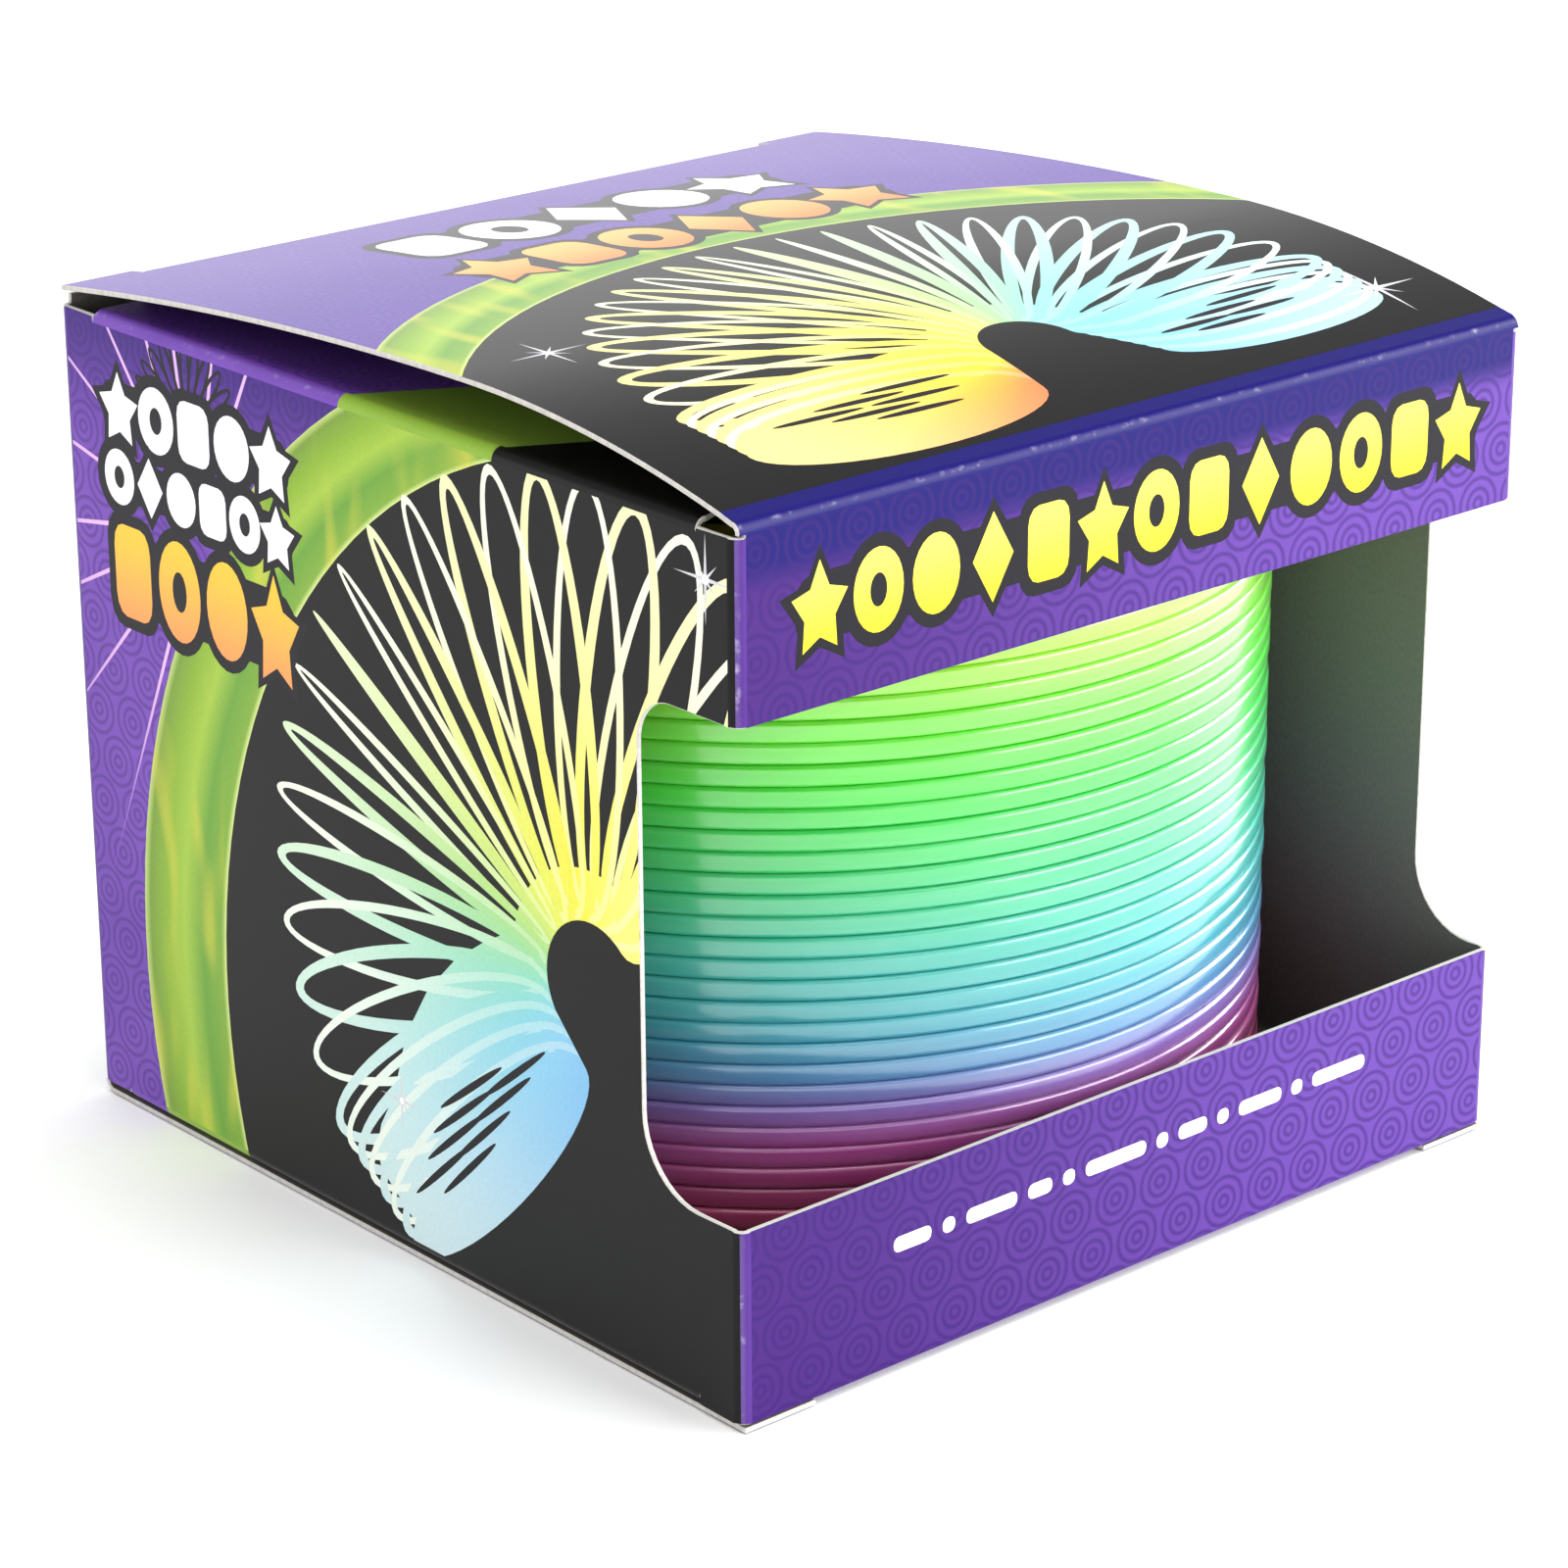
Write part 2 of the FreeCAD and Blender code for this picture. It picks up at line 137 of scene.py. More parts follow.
class Graph:
    """The node tree of a material or the world, with short calls for the nodes used here."""

    def __init__(self, name, store=bpy.data.materials, shader="Principled BSDF"):
        self.owner = store.new(name)
        self.owner.use_nodes = True
        self.tree = self.owner.node_tree
        self.shader = self.tree.nodes[shader]

    def link(self, value, socket):
        """Join an output to a socket, or set a constant on the socket."""
        if hasattr(value, "is_output"):
            self.tree.links.new(value, socket)
        else:
            socket.default_value = value

    def node(self, kind, *values, **settings):
        """A new node with its settings made and its first inputs filled."""
        node = self.tree.nodes.new("ShaderNode" + kind)
        for name, setting in settings.items():
            setattr(node, name, setting)
        for value, socket in zip(values, node.inputs):
            self.link(value, socket)
        return node

    def uv(self):
        """Panel coordinates in millimetres."""
        source = self.node("UVMap", uv_map="Print")
        scaled = self.node("VectorMath", source.outputs["UV"], operation="SCALE")
        scaled.inputs["Scale"].default_value = UV_SPAN
        return scaled.outputs["Vector"]

    def math(self, operation, *values, clamp=False):
        return self.node("Math", *values, operation=operation, use_clamp=clamp).outputs[0]

    def vector_math(self, operation, *values):
        node = self.node("VectorMath", *values, operation=operation)
        return node.outputs["Value" if operation in ("DISTANCE", "LENGTH") else "Vector"]

    def separate(self, vector):
        return self.node("SeparateXYZ", vector).outputs

    def noise(self, scale, detail, place, roughness=0.55):
        node = self.node("TexNoise", place)
        for name, value in (("Scale", scale), ("Detail", detail), ("Roughness", roughness)):
            node.inputs[name].default_value = value
        return node.outputs["Fac"]

    def ramp(self, factor, stops):
        """The colour at a factor, from (position, colour) stops."""
        node = self.node("ValToRGB", factor)
        elements = node.color_ramp.elements
        while len(elements) < len(stops):
            elements.new(0.5)
        for element, (position, colour) in zip(elements, stops):
            element.position = position
            element.color = colour
        return node.outputs["Color"]

    def smooth(self, value, low, high):
        """0 below low, 1 above high and a smooth step between."""
        return self.node("MapRange", value, low, high, interpolation_type="SMOOTHSTEP").outputs["Result"]

    def mix(self, factor, first, second, blend="MIX"):
        node = self.node("Mix", factor, data_type="RGBA", blend_type=blend)
        self.link(first, node.inputs[6])
        self.link(second, node.inputs[7])
        return node.outputs[2]

    def bump(self, height, strength, distance):
        node = self.node("Bump", strength, distance)
        self.link(height, node.inputs["Height"])
        self.link(node.outputs["Normal"], self.shader.inputs["Normal"])

    def finish(self, colour, roughness, coat=0.0, coat_roughness=0.1, specular=0.5):
        self.link(colour, self.shader.inputs["Base Color"])
        self.link(roughness, self.shader.inputs["Roughness"])
        self.shader.inputs["Coat Weight"].default_value = coat
        self.shader.inputs["Coat Roughness"].default_value = coat_roughness
        self.shader.inputs["Specular IOR Level"].default_value = specular
        return self.owner


# ---- materials

PRINT_ROUGHNESS = (0.24, 0.38)
VARNISH = 0.05
PRINT_SPECULAR = 0.14
RING_PITCH = 4.6          # the printed rings stand in staggered rows
RING_ROW = 3.8
RING_LINES = (1.95, 1.15, 0.45)
RING_LINE_WIDTH = 0.28


def coated_board(graph, colour, wear_amount=0.0):
    """Semi-gloss varnished print: the colour gets fine mottling, fibre bump and crease wear."""
    uv = graph.uv()
    mottle = graph.noise(3.2, 5.0, uv)
    fine = graph.noise(14.0, 3.0, uv)
    shade = graph.math("MULTIPLY_ADD", mottle, 0.22, 0.89)
    grey = graph.node("CombineColor", shade, shade, shade)
    colour = graph.mix(1.0, colour, grey.outputs[0], "MULTIPLY")
    if wear_amount:
        attribute = graph.node("Attribute", attribute_name="wear")
        scuffs = graph.smooth(graph.noise(0.8, 3.0, uv, 0.6), 0.52, 0.80)
        ridge = graph.smooth(attribute.outputs["Fac"], 0.55, 1.0)
        wear = graph.math("MULTIPLY", ridge, graph.math("MULTIPLY_ADD", scuffs, 0.9, 0.12))
        wear = graph.math("MULTIPLY", wear, wear_amount, clamp=True)
        colour = graph.mix(wear, colour, linear(206, 198, 222))
    roughness = graph.math("MULTIPLY_ADD", fine, PRINT_ROUGHNESS[1] - PRINT_ROUGHNESS[0],
                           PRINT_ROUGHNESS[0])
    graph.bump(fine, 0.10, 0.00004)
    return graph.finish(colour, roughness, VARNISH, 0.22, PRINT_SPECULAR)


def ring_pattern(graph, uv):
    """1 on the thin lines of concentric rings that stand in staggered rows."""
    reaches = []
    for shift in (0.0, 0.5):
        cell = graph.vector_math("MULTIPLY_ADD", uv, (1 / RING_PITCH, 0.5 / RING_ROW, 0.0),
                                 (shift + 0.5, shift + 0.13, 0.0))
        cell = graph.vector_math("SUBTRACT", graph.vector_math("FRACTION", cell), (0.5, 0.5, 0.0))
        away = graph.vector_math("MULTIPLY", cell, (RING_PITCH, 2 * RING_ROW, 0.0))
        reaches.append(graph.vector_math("LENGTH", away))
    nearest = graph.math("MINIMUM", *reaches)
    lines = 0.0
    for radius in RING_LINES:
        away = graph.math("ABSOLUTE", graph.math("SUBTRACT", nearest, radius))
        lines = graph.math("MAXIMUM", graph.smooth(away, RING_LINE_WIDTH, 0.03), lines)
    return lines


def purple_print(name, light, dark, rings=0.5, wear=0.0, gradient=None, across=None):
    """Purple ground with the ring pattern.

    gradient is (low v, high v, colour at the top); across is (u of the dark end, u of the light end) of a
    painted shade, which darkens the ground towards one end of the panel.
    """
    graph = Graph(name)
    uv = graph.uv()
    # With across, painted shade: the ground runs from the dark colour at one end to the light one at the
    # other, standing in for light that falls off across the panel; without it the two colours mix at
    # random.
    if across:
        colour = graph.mix(graph.smooth(graph.separate(uv)[0], *across), dark, light)
    else:
        colour = graph.mix(graph.smooth(graph.noise(0.045, 2.0, uv), 0.1, 0.9), light, dark)
    if gradient:
        low, high, top = gradient
        colour = graph.mix(graph.smooth(graph.separate(uv)[1], low, high), colour, top)
    if rings:
        lines = graph.math("MULTIPLY", ring_pattern(graph, uv), rings)
        colour = graph.mix(lines, colour, linear(44, 14, 96))
    return coated_board(graph, colour, wear)


def plain_print(name, colour, wear=0.0):
    return coated_board(Graph(name), colour, wear)


def band_print(name, outer, inner):
    """The glowing green band between two circles, lit along its middle, with soft yellow flares."""
    graph = Graph(name)
    uv = graph.uv()
    past_inner, past_outer = [
        graph.math("SUBTRACT", graph.vector_math("DISTANCE", uv, (u, v, 0.0)), radius)
        for (u, v), radius in (inner, outer)]
    width = graph.math("SUBTRACT", past_inner, past_outer)
    ramp = graph.ramp(graph.math("DIVIDE", past_inner, width), [
        (0.00, linear(206, 222, 140)),
        (0.05, linear(126, 166, 58)),
        (0.28, linear(104, 156, 56)),
        (0.50, linear(158, 190, 66)),
        (0.72, linear(134, 172, 48)),
        (0.93, linear(116, 150, 54)),
        (1.00, linear(188, 206, 118)),
    ])
    stretched = graph.vector_math("MULTIPLY", uv, (0.30, 0.07, 0.0))
    flare = graph.smooth(graph.noise(1.0, 1.0, stretched), 0.50, 0.75)
    colour = graph.mix(graph.math("MULTIPLY", flare, 0.55), ramp, linear(206, 200, 70))
    return coated_board(graph, colour)


def arch_print(name, hub, stops, pale, reach):
    """Ink of the drawn coil: its colour turns round the hub and pales towards the rim."""
    graph = Graph(name)
    uv = graph.uv()
    local = graph.vector_math("SUBTRACT", uv, (hub[0], hub[1], 0.0))
    x, y, _ = graph.separate(local)
    # 0 straight down, rising anticlockwise through the right, the top and the left
    angle = graph.math("ARCTAN2", x, graph.math("MULTIPLY", y, -1.0))
    turn = graph.math("FRACT", graph.math("MULTIPLY_ADD", angle, 0.5 / math.pi, 1.0))
    colour = graph.ramp(turn, stops)
    rim = graph.smooth(graph.vector_math("LENGTH", local), 0.2 * reach, 0.95 * reach)
    rim = graph.math("MULTIPLY_ADD", rim, pale[1] - pale[0], pale[0])
    colour = graph.mix(rim, colour, linear(236, 240, 226))
    return coated_board(graph, colour)


def ray_print(name, centre, near, far, ground):
    """Pale light rays on the purple ground, fading away from the centre."""
    graph = Graph(name)
    uv = graph.uv()
    reach = graph.vector_math("DISTANCE", uv, (centre[0], centre[1], 0.0))
    return coated_board(graph, graph.mix(graph.smooth(reach, near, far), linear(222, 178, 226), ground))


def shaded_print(name, low_v, high_v, low, high):
    """Ink that changes from one colour to another up the panel."""
    graph = Graph(name)
    height = graph.separate(graph.uv())[1]
    return coated_board(graph, graph.mix(graph.smooth(height, low_v, high_v), low, high))


def bare_board(name, colour, speckle):
    """Uncoated grey board: matt, with fibres, specks and a slight tooth."""
    graph = Graph(name)
    uv = graph.uv()
    fibres = graph.noise(6.0, 8.0, graph.vector_math("MULTIPLY", uv, (1.0, 0.35, 1.0)), 0.7)
    specks = graph.smooth(graph.noise(9.0, 2.0, uv), 0.66, 0.74)
    tone = graph.mix(graph.smooth(fibres, 0.3, 0.7), colour, tuple(0.8 * c for c in colour[:3]) + (1.0,))
    tone = graph.mix(graph.math("MULTIPLY", specks, speckle), tone, linear(70, 66, 62))
    graph.bump(fibres, 0.35, 0.00008)
    return graph.finish(tone, graph.math("MULTIPLY_ADD", fibres, 0.12, 0.80), specular=0.3)


# Height up the coil and display colour
COIL_COLOURS = [
    (2, (176, 20, 80)), (8, (186, 32, 106)), (13.5, (162, 50, 140)), (16.5, (112, 80, 162)),
    (19, (54, 120, 170)), (23, (12, 152, 164)), (28.5, (0, 172, 148)), (35, (0, 188, 90)),
    (40.5, (34, 204, 18)), (45.5, (98, 214, 0)), (52, (166, 214, 0)), (59, (224, 212, 0)),
]


def coil_plastic():
    """Glossy, slightly cloudy plastic whose colour runs through the rainbow up the coil."""
    graph = Graph("coil_rainbow_plastic")
    uv = graph.uv()
    drift = graph.math("MULTIPLY_ADD", graph.noise(0.05, 2.0, uv), 1.2, -0.6)
    height = graph.math("ADD", graph.separate(uv)[1], drift)
    stops = [(z / COIL_TOP, linear(*colour)) for z, colour in COIL_COLOURS]
    colour = graph.ramp(graph.math("MULTIPLY", height, 1 / COIL_TOP), stops)
    haze = graph.noise(1.4, 5.0, uv)
    colour = graph.mix(graph.math("MULTIPLY", haze, 0.10), colour, linear(255, 255, 255))
    flow = graph.noise(0.9, 3.0, graph.vector_math("MULTIPLY", uv, (0.15, 2.0, 1.0)))
    roughness = graph.math("MULTIPLY_ADD", flow, 0.08, 0.10)
    graph.bump(flow, 0.06, 0.00005)
    for name, value in (("Subsurface Weight", 0.7), ("Subsurface Radius", (1.0, 1.0, 1.0)),
                        ("Subsurface Scale", 0.0012), ("IOR", 1.5)):
        graph.shader.inputs[name].default_value = value
    return graph.finish(colour, roughness, 1.0, 0.30, 0.8)


PURPLE = linear(126, 82, 184)
PURPLE_DEEP = linear(94, 50, 156)
# The front's purple: on the front panel it runs from FRONT_DARK at the left, painted shade towards the near
# corner, to FRONT_LIGHT at the right, on the side the key light comes from. The creases mix the two at
# random.
FRONT_LIGHT = linear(95, 59, 150)
FRONT_DARK = linear(62, 25, 107)
VIOLET = linear(12, 3, 96)
BLACK = linear(15, 14, 14)

# Printed art, as (u, v) on its panel: circles that edge the green bands, the drawn coils' hubs and
# how far from its hub each coil's ink goes on paling
LEFT_BAND_OUTER = ((25.9, 15.0), 57.8)
LEFT_BAND_INNER = ((31.7, 15.0), 52.7)
LID_BAND_OUTER = ((-1.2, -41.2), 55.0)
LID_BAND_INNER = ((-0.5, -43.9), 50.5)
BADGE = (-22.2, 51.0)
LEFT_HUB = (23.6, 28.5)
LID_HUB = (0.2, -26.8)
LEFT_FADE = 37.0
LID_FADE = 32.0


def turn_stops(pairs):
    """Ramp stops from (degrees anticlockwise from +u, display colour) pairs."""
    return sorted((((degrees + 90) % 360) / 360, linear(*colour)) for degrees, colour in pairs)


def make_materials():
    left_arch = turn_stops([
        (60, (240, 232, 120)), (100, (230, 222, 70)), (135, (214, 222, 96)), (165, (160, 208, 130)),
        (190, (140, 208, 182)), (212, (132, 200, 212)), (235, (134, 192, 222)), (262, (128, 182, 220))])
    lid_arch = turn_stops([
        (-80, (130, 184, 222)), (-30, (136, 196, 226)), (5, (134, 204, 222)), (45, (146, 212, 200)),
        (80, (170, 212, 150)), (110, (206, 216, 112)), (150, (236, 226, 84)), (188, (246, 214, 60)),
        (204, (246, 178, 62)), (222, (240, 138, 78)), (245, (232, 112, 88))])
    materials = {
        "side": purple_print("print_side_purple", PURPLE, PURPLE_DEEP, 0.45, 0.0,
                             (55.0, 66.0, linear(60, 22, 122))),
        # The front's ground carries painted shade: darker towards its left end, at u -40, and lighter
        # towards its right, at u 30.
        "front": purple_print("print_front_purple", FRONT_LIGHT, FRONT_DARK, 0.62, 0.0,
                              (60.5, 63.0, VIOLET), (-40.0, 30.0)),
        "back": purple_print("print_back_purple", PURPLE, PURPLE_DEEP, 0.5),
        "lid": purple_print("print_lid_purple", linear(98, 70, 160), linear(84, 52, 150), 0.25),
        "violet": plain_print("print_violet", VIOLET, 0.5),
        "crease": purple_print("print_crease_purple", FRONT_LIGHT, FRONT_DARK, 0.0, 0.6),
        "side_crease": purple_print("print_side_crease", PURPLE, PURPLE_DEEP, 0.0, 0.4),
        "yellow": shaded_print("print_yellow", 55.5, 62.0, linear(226, 214, 40), linear(244, 238, 92)),
        "orange": shaded_print("print_orange", 40.0, 50.0, linear(246, 150, 92), linear(250, 196, 60)),
        "title_orange": shaded_print("print_title_orange", 8.0, 17.0, linear(238, 130, 62),
                                     linear(250, 178, 96)),
        "left_band": band_print("print_left_band", LEFT_BAND_OUTER, LEFT_BAND_INNER),
        "lid_band": band_print("print_lid_band", LID_BAND_OUTER, LID_BAND_INNER),
        "ray": ray_print("print_ray", BADGE, 12.0, 34.0, PURPLE),
        "inside": bare_board("board_inside", linear(118, 114, 108), 0.35),
        "cut": bare_board("board_cut_edge", linear(208, 204, 198), 0.15),
        "coil": coil_plastic(),
    }
    for name, hub, stops, pale, reach in (
            ("left_arch", LEFT_HUB, left_arch, (0.0, 0.55), LEFT_FADE),
            ("left_arch_pale", LEFT_HUB, left_arch, (0.25, 0.9), LEFT_FADE),
            ("lid_arch", LID_HUB, lid_arch, (0.0, 0.30), LID_FADE),
            ("lid_arch_pale", LID_HUB, lid_arch, (0.15, 0.7), LID_FADE)):
        materials[name] = arch_print("print_" + name, hub, stops, pale, reach)
    for name, colour in (("black", BLACK), ("outline", linear(22, 20, 26)),
                         ("white", linear(242, 242, 246)), ("spark", linear(206, 204, 210)),
                         ("flap_band", linear(136, 172, 58))):
        materials[name] = plain_print("print_" + name, colour)
    return materials


# ---- flat outlines

def polar(centre, radius, degrees):
    angle = math.radians(degrees)
    return centre[0] + radius * math.cos(angle), centre[1] + radius * math.sin(angle)


def arc(centre, radius, start, end, step=ARC_STEP):
    """Points along a circle from start to end, in degrees, either way round."""
    count = max(1, round(abs(end - start) / step))
    return [polar(centre, radius, start + (end - start) * index / count) for index in range(count + 1)]


def ellipse(centre, major, minor, direction, count=44):
    """An ellipse whose major axis points along direction, in degrees."""
    cosine = math.cos(math.radians(direction))
    sine = math.sin(math.radians(direction))
    points = []
    for index in range(count):
        angle = 2 * math.pi * index / count
        along = major * math.cos(angle)
        across = minor * math.sin(angle)
        points.append((centre[0] + along * cosine - across * sine,
                       centre[1] + along * sine + across * cosine))
    return points


def star(centre, radius, points=5, waist=0.48, turn=90.0):
    reaches = (radius, radius * waist)
    return [polar(centre, reaches[index % 2], turn + 180 * index / points) for index in range(2 * points)]


def bar(centre, width, height, rounding):
    """A rounded rectangle."""
    across = width / 2 - rounding
    up = height / 2 - rounding
    points = []
    for start, side, rise in ((0, 1, 1), (90, -1, 1), (180, -1, -1), (270, 1, -1)):
        corner = (centre[0] + side * across, centre[1] + rise * up)
        points += arc(corner, rounding, start, start + 90, 30)
    return points


def signed_area(points):
    corners = zip(points, points[1:] + points[:1])
    return sum(x0 * y1 - x1 * y0 for (x0, y0), (x1, y1) in corners) / 2


class Ink:
    """One printed area: an outline, the material printed in it, and a hole left open."""

    def __init__(self, outline, material, hole=None):
        self.outline = outline
        self.material = material
        self.hole = hole


# ---- board pieces

def add_object(name, data):
    thing = bpy.data.objects.new(name, data)
    bpy.context.scene.collection.objects.link(thing)
    return thing


def add_mesh(name, places, faces, flat, materials, sharp):
    """A mesh object. flat is each point's place in the print; sharp is the least angle of an edge."""
    mesh = bpy.data.meshes.new(name)
    mesh.from_pydata(places, [], faces)
    uvs = mesh.uv_layers.new(name="Print")
    for loop in mesh.loops:
        u, v = flat[loop.vertex_index]
        uvs.data[loop.index].uv = (u / UV_SPAN, v / UV_SPAN)
    for material in materials:
        mesh.materials.append(MATERIALS[material])
    mesh.shade_smooth()
    mesh.set_sharp_from_angle(angle=math.radians(sharp))
    return add_object(name, mesh)


def solve_sheet(outline, inks, cuts):
    """Triangles of the outline, cut along every ink. Returns points, triangles and the ink of each."""
    points = []
    faces = []
    edges = []

    def add_polygon(corners):
        if signed_area(corners) < 0:
            corners = corners[::-1]
        first = len(points)
        points.extend(Vector((round(u, 3), round(v, 3))) for u, v in corners)
        faces.append(list(range(first, first + len(corners))))
        return len(faces) - 1

    add_polygon(outline)
    layers = []
    for ink in inks:
        shape = add_polygon(ink.outline)
        hole = add_polygon(ink.hole) if ink.hole else None
        layers.append((shape, hole, ink.material))
    for start, end in cuts:
        first = len(points)
        points.extend((Vector(start), Vector(end)))
        edges.append((first, first + 1))
    solved, _, triangles, _, _, owners = delaunay_2d_cdt(points, edges, faces, 1, 1e-5)
    kept = []
    tones = []
    for triangle, owner in zip(triangles, owners):
        owner = set(owner)
        if 0 not in owner:
            continue
        kept.append(tuple(triangle))
        tones.append(next((material for shape, hole, material in reversed(layers)
                           if shape in owner and hole not in owner), None))
    return [(point.x, point.y) for point in solved], kept, tones


def inward_steps(points, border, joined):
    """How far each border point moves in for the bevel; none where the sheet joins its neighbour."""
    steps = {}
    for start, end in border:
        dx = points[end][0] - points[start][0]
        dy = points[end][1] - points[start][1]
        length = math.hypot(dx, dy) or 1.0
        for index in (start, end):
            step = steps.setdefault(index, [0.0, 0.0])
            step[0] -= dy / length
            step[1] += dx / length
    for index, (dx, dy) in steps.items():
        length = math.hypot(dx, dy)
        if length < 1e-6 or joined(*points[index]):
            steps[index] = (0.0, 0.0)
        else:
            reach = CUT_BEVEL * min(2.0 / length, 1.6) / length
            steps[index] = (dx * reach, dy * reach)
    return steps


def as_drawn(u, v):
    return u, v


def board(name, outline, place, base, inks=(), cuts=(), joined=None, wear=None, sheet=as_drawn):
    """A piece of board.

    place(u, v, depth) gives millimetres in the row frame. joined(u, v) is true on the edges where
    the board carries on into its neighbour. sheet(u, v) gives the place in the print's own drawing.
    """
    joined = joined or (lambda u, v: False)
    points, triangles, tones = solve_sheet(outline, list(inks), cuts)
    used = sorted({index for triangle in triangles for index in triangle})
    renumber = {old: new for new, old in enumerate(used)}
    points = [points[index] for index in used]
    triangles = [tuple(renumber[index] for index in triangle) for triangle in triangles]
    directed = {(t[i], t[(i + 1) % 3]) for t in triangles for i in range(3)}
    border = sorted(edge for edge in directed if (edge[1], edge[0]) not in directed)
    steps = inward_steps(points, border, joined)
    names = list(dict.fromkeys([base, "inside", "cut"] + [ink.material for ink in inks]))

    places = []
    flat = []

    def add(index, depth, moved):
        u, v = points[index]
        if moved and index in steps:
            u, v = u + steps[index][0], v + steps[index][1]
        places.append(Vector(place(u, v, depth)) * MM)
        flat.append(points[index])
        return len(places) - 1

    top = [add(index, 0.0, True) for index in range(len(points))]
    low = [add(index, BOARD, True) for index in range(len(points))]
    rim = sorted(steps)
    upper = {index: add(index, CUT_BEVEL, False) for index in rim}
    lower = {index: add(index, BOARD - CUT_BEVEL, False) for index in rim}
    faces = []
    slot_of = []
    for triangle, tone in zip(triangles, tones):
        faces.append([top[index] for index in triangle])
        slot_of.append(names.index(tone or base))
    for triangle in triangles:
        faces.append([low[index] for index in reversed(triangle)])
        slot_of.append(names.index("inside"))
    for start, end in border:
        for high_ring, low_ring in ((top, upper), (upper, lower), (lower, low)):
            faces.append([high_ring[start], low_ring[start], low_ring[end], high_ring[end]])
            slot_of.append(names.index("cut"))
    piece = add_mesh(name, places, faces, [sheet(u, v) for u, v in flat], names, 30)
    piece.data.polygons.foreach_set("material_index", slot_of)
    if wear:
        layer = piece.data.attributes.new("wear", "FLOAT", "POINT")
        layer.data.foreach_set("value", [wear(u, v) for u, v in flat])
    return piece


def settle(piece, body, node):
    """The piece rides on its body and stands for its CAD node."""
    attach(piece, body)
    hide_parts(node)


def panel(node, body, *sheet, **settings):
    """The board of a CAD node that rides on one body."""
    settle(board(node + "_board", *sheet, **settings), body, node)


# ---- places of the panels

def on_left(u, v, depth):
    return (LEFT + depth, -u, v)


def on_right(u, v, depth):
    return (RIGHT - depth, u, v)


def on_front(u, v, depth):
    return (u, FRONT + depth, v)


def on_back(u, v, depth):
    return (-u, BACK - depth, v)


def on_glue(u, v, depth):
    return (-u, GLUE_FACE - depth, v)


def on_bottom(u, v, depth):
    return (u, -v, depth)


def bow(run, rise):
    return (run * run + rise * rise) / (2 * rise)


# Radii of the lid's two arcs, which meet at its peak
LID_FRONT_BOW = bow(LID_PEAK_Y - FRONT - CREASE, LID_PEAK_RISE)
LID_REAR_BOW = bow(BACK - LID_PEAK_Y, LID_PEAK_RISE - LID_REAR_RISE)


def on_lid(u, v, depth):
    """The bowed lid: v is the place along Y."""
    radius = LID_FRONT_BOW if v < LID_PEAK_Y else LID_REAR_BOW
    sine = (v - LID_PEAK_Y) / radius
    cosine = math.sqrt(1 - sine * sine)
    reach = radius - depth
    return (u, LID_PEAK_Y + reach * sine, LID_HEIGHT + LID_PEAK_RISE - radius + reach * cosine)


def folded(axis, centre, start, end, side):
    """A place function for a crease bent round a line along an axis.

    start and end are directions in degrees in the plane across the axis. side is the sign that
    takes the place along the crease to the axis.
    """
    turn = 1 if end > start else -1

    def place(along, bent, depth):
        angle = math.radians(start) + turn * bent / CREASE
        a = centre[0] + (CREASE - depth) * math.cos(angle)
        b = centre[1] + (CREASE - depth) * math.sin(angle)
        if axis == X:
            return (side * along, a, b)
        if axis == Y:
            return (a, side * along, b)
        return (a, b, side * along)

    return place


def fold_length(start, end):
    return abs(math.radians(end - start)) * CREASE


def crest(length):
    """Wear that is greatest along the middle of a crease."""
    def wear(along, bent):
        return max(0.0, 1.0 - abs(bent / length - 0.5) * 1.7)
    return wear


# ---- drawn art

class Loop:
    """One loop of a drawn coil: where it starts, where its tip is and half its open width."""

    def __init__(self, root, tip, half):
        self.root = Vector(root)
        self.tip = Vector(tip)
        self.half = half
        self.length = (self.tip - self.root).length
        self.direction = math.degrees(math.atan2(self.tip.y - self.root.y, self.tip.x - self.root.x))

    def at(self, part):
        return self.root.lerp(self.tip, part)


def fan_loops(hub, inner, reach, first, last, count, edge_on, widths):
    """Loops fanned round a hub; they look thinnest in the edge_on direction."""
    loops = []
    for index in range(count + 1):
        direction = first + (last - first) * index / count
        half = widths[0] + (widths[1] - widths[0]) * abs(math.sin(math.radians(direction - edge_on)))
        loops.append(Loop(polar(hub, inner, direction), polar(hub, reach, direction), half))
    return loops


def stack_loops(start, root, tip, half, count):
    """Loops that close up from a fan's end loop to the coil's last turn."""
    loops = []
    for index in range(1, count + 1):
        part = index / count
        loops.append(Loop(start.root.lerp(Vector(root), part), start.tip.lerp(Vector(tip), part),
                          start.half + (half - start.half) * part))
    return loops


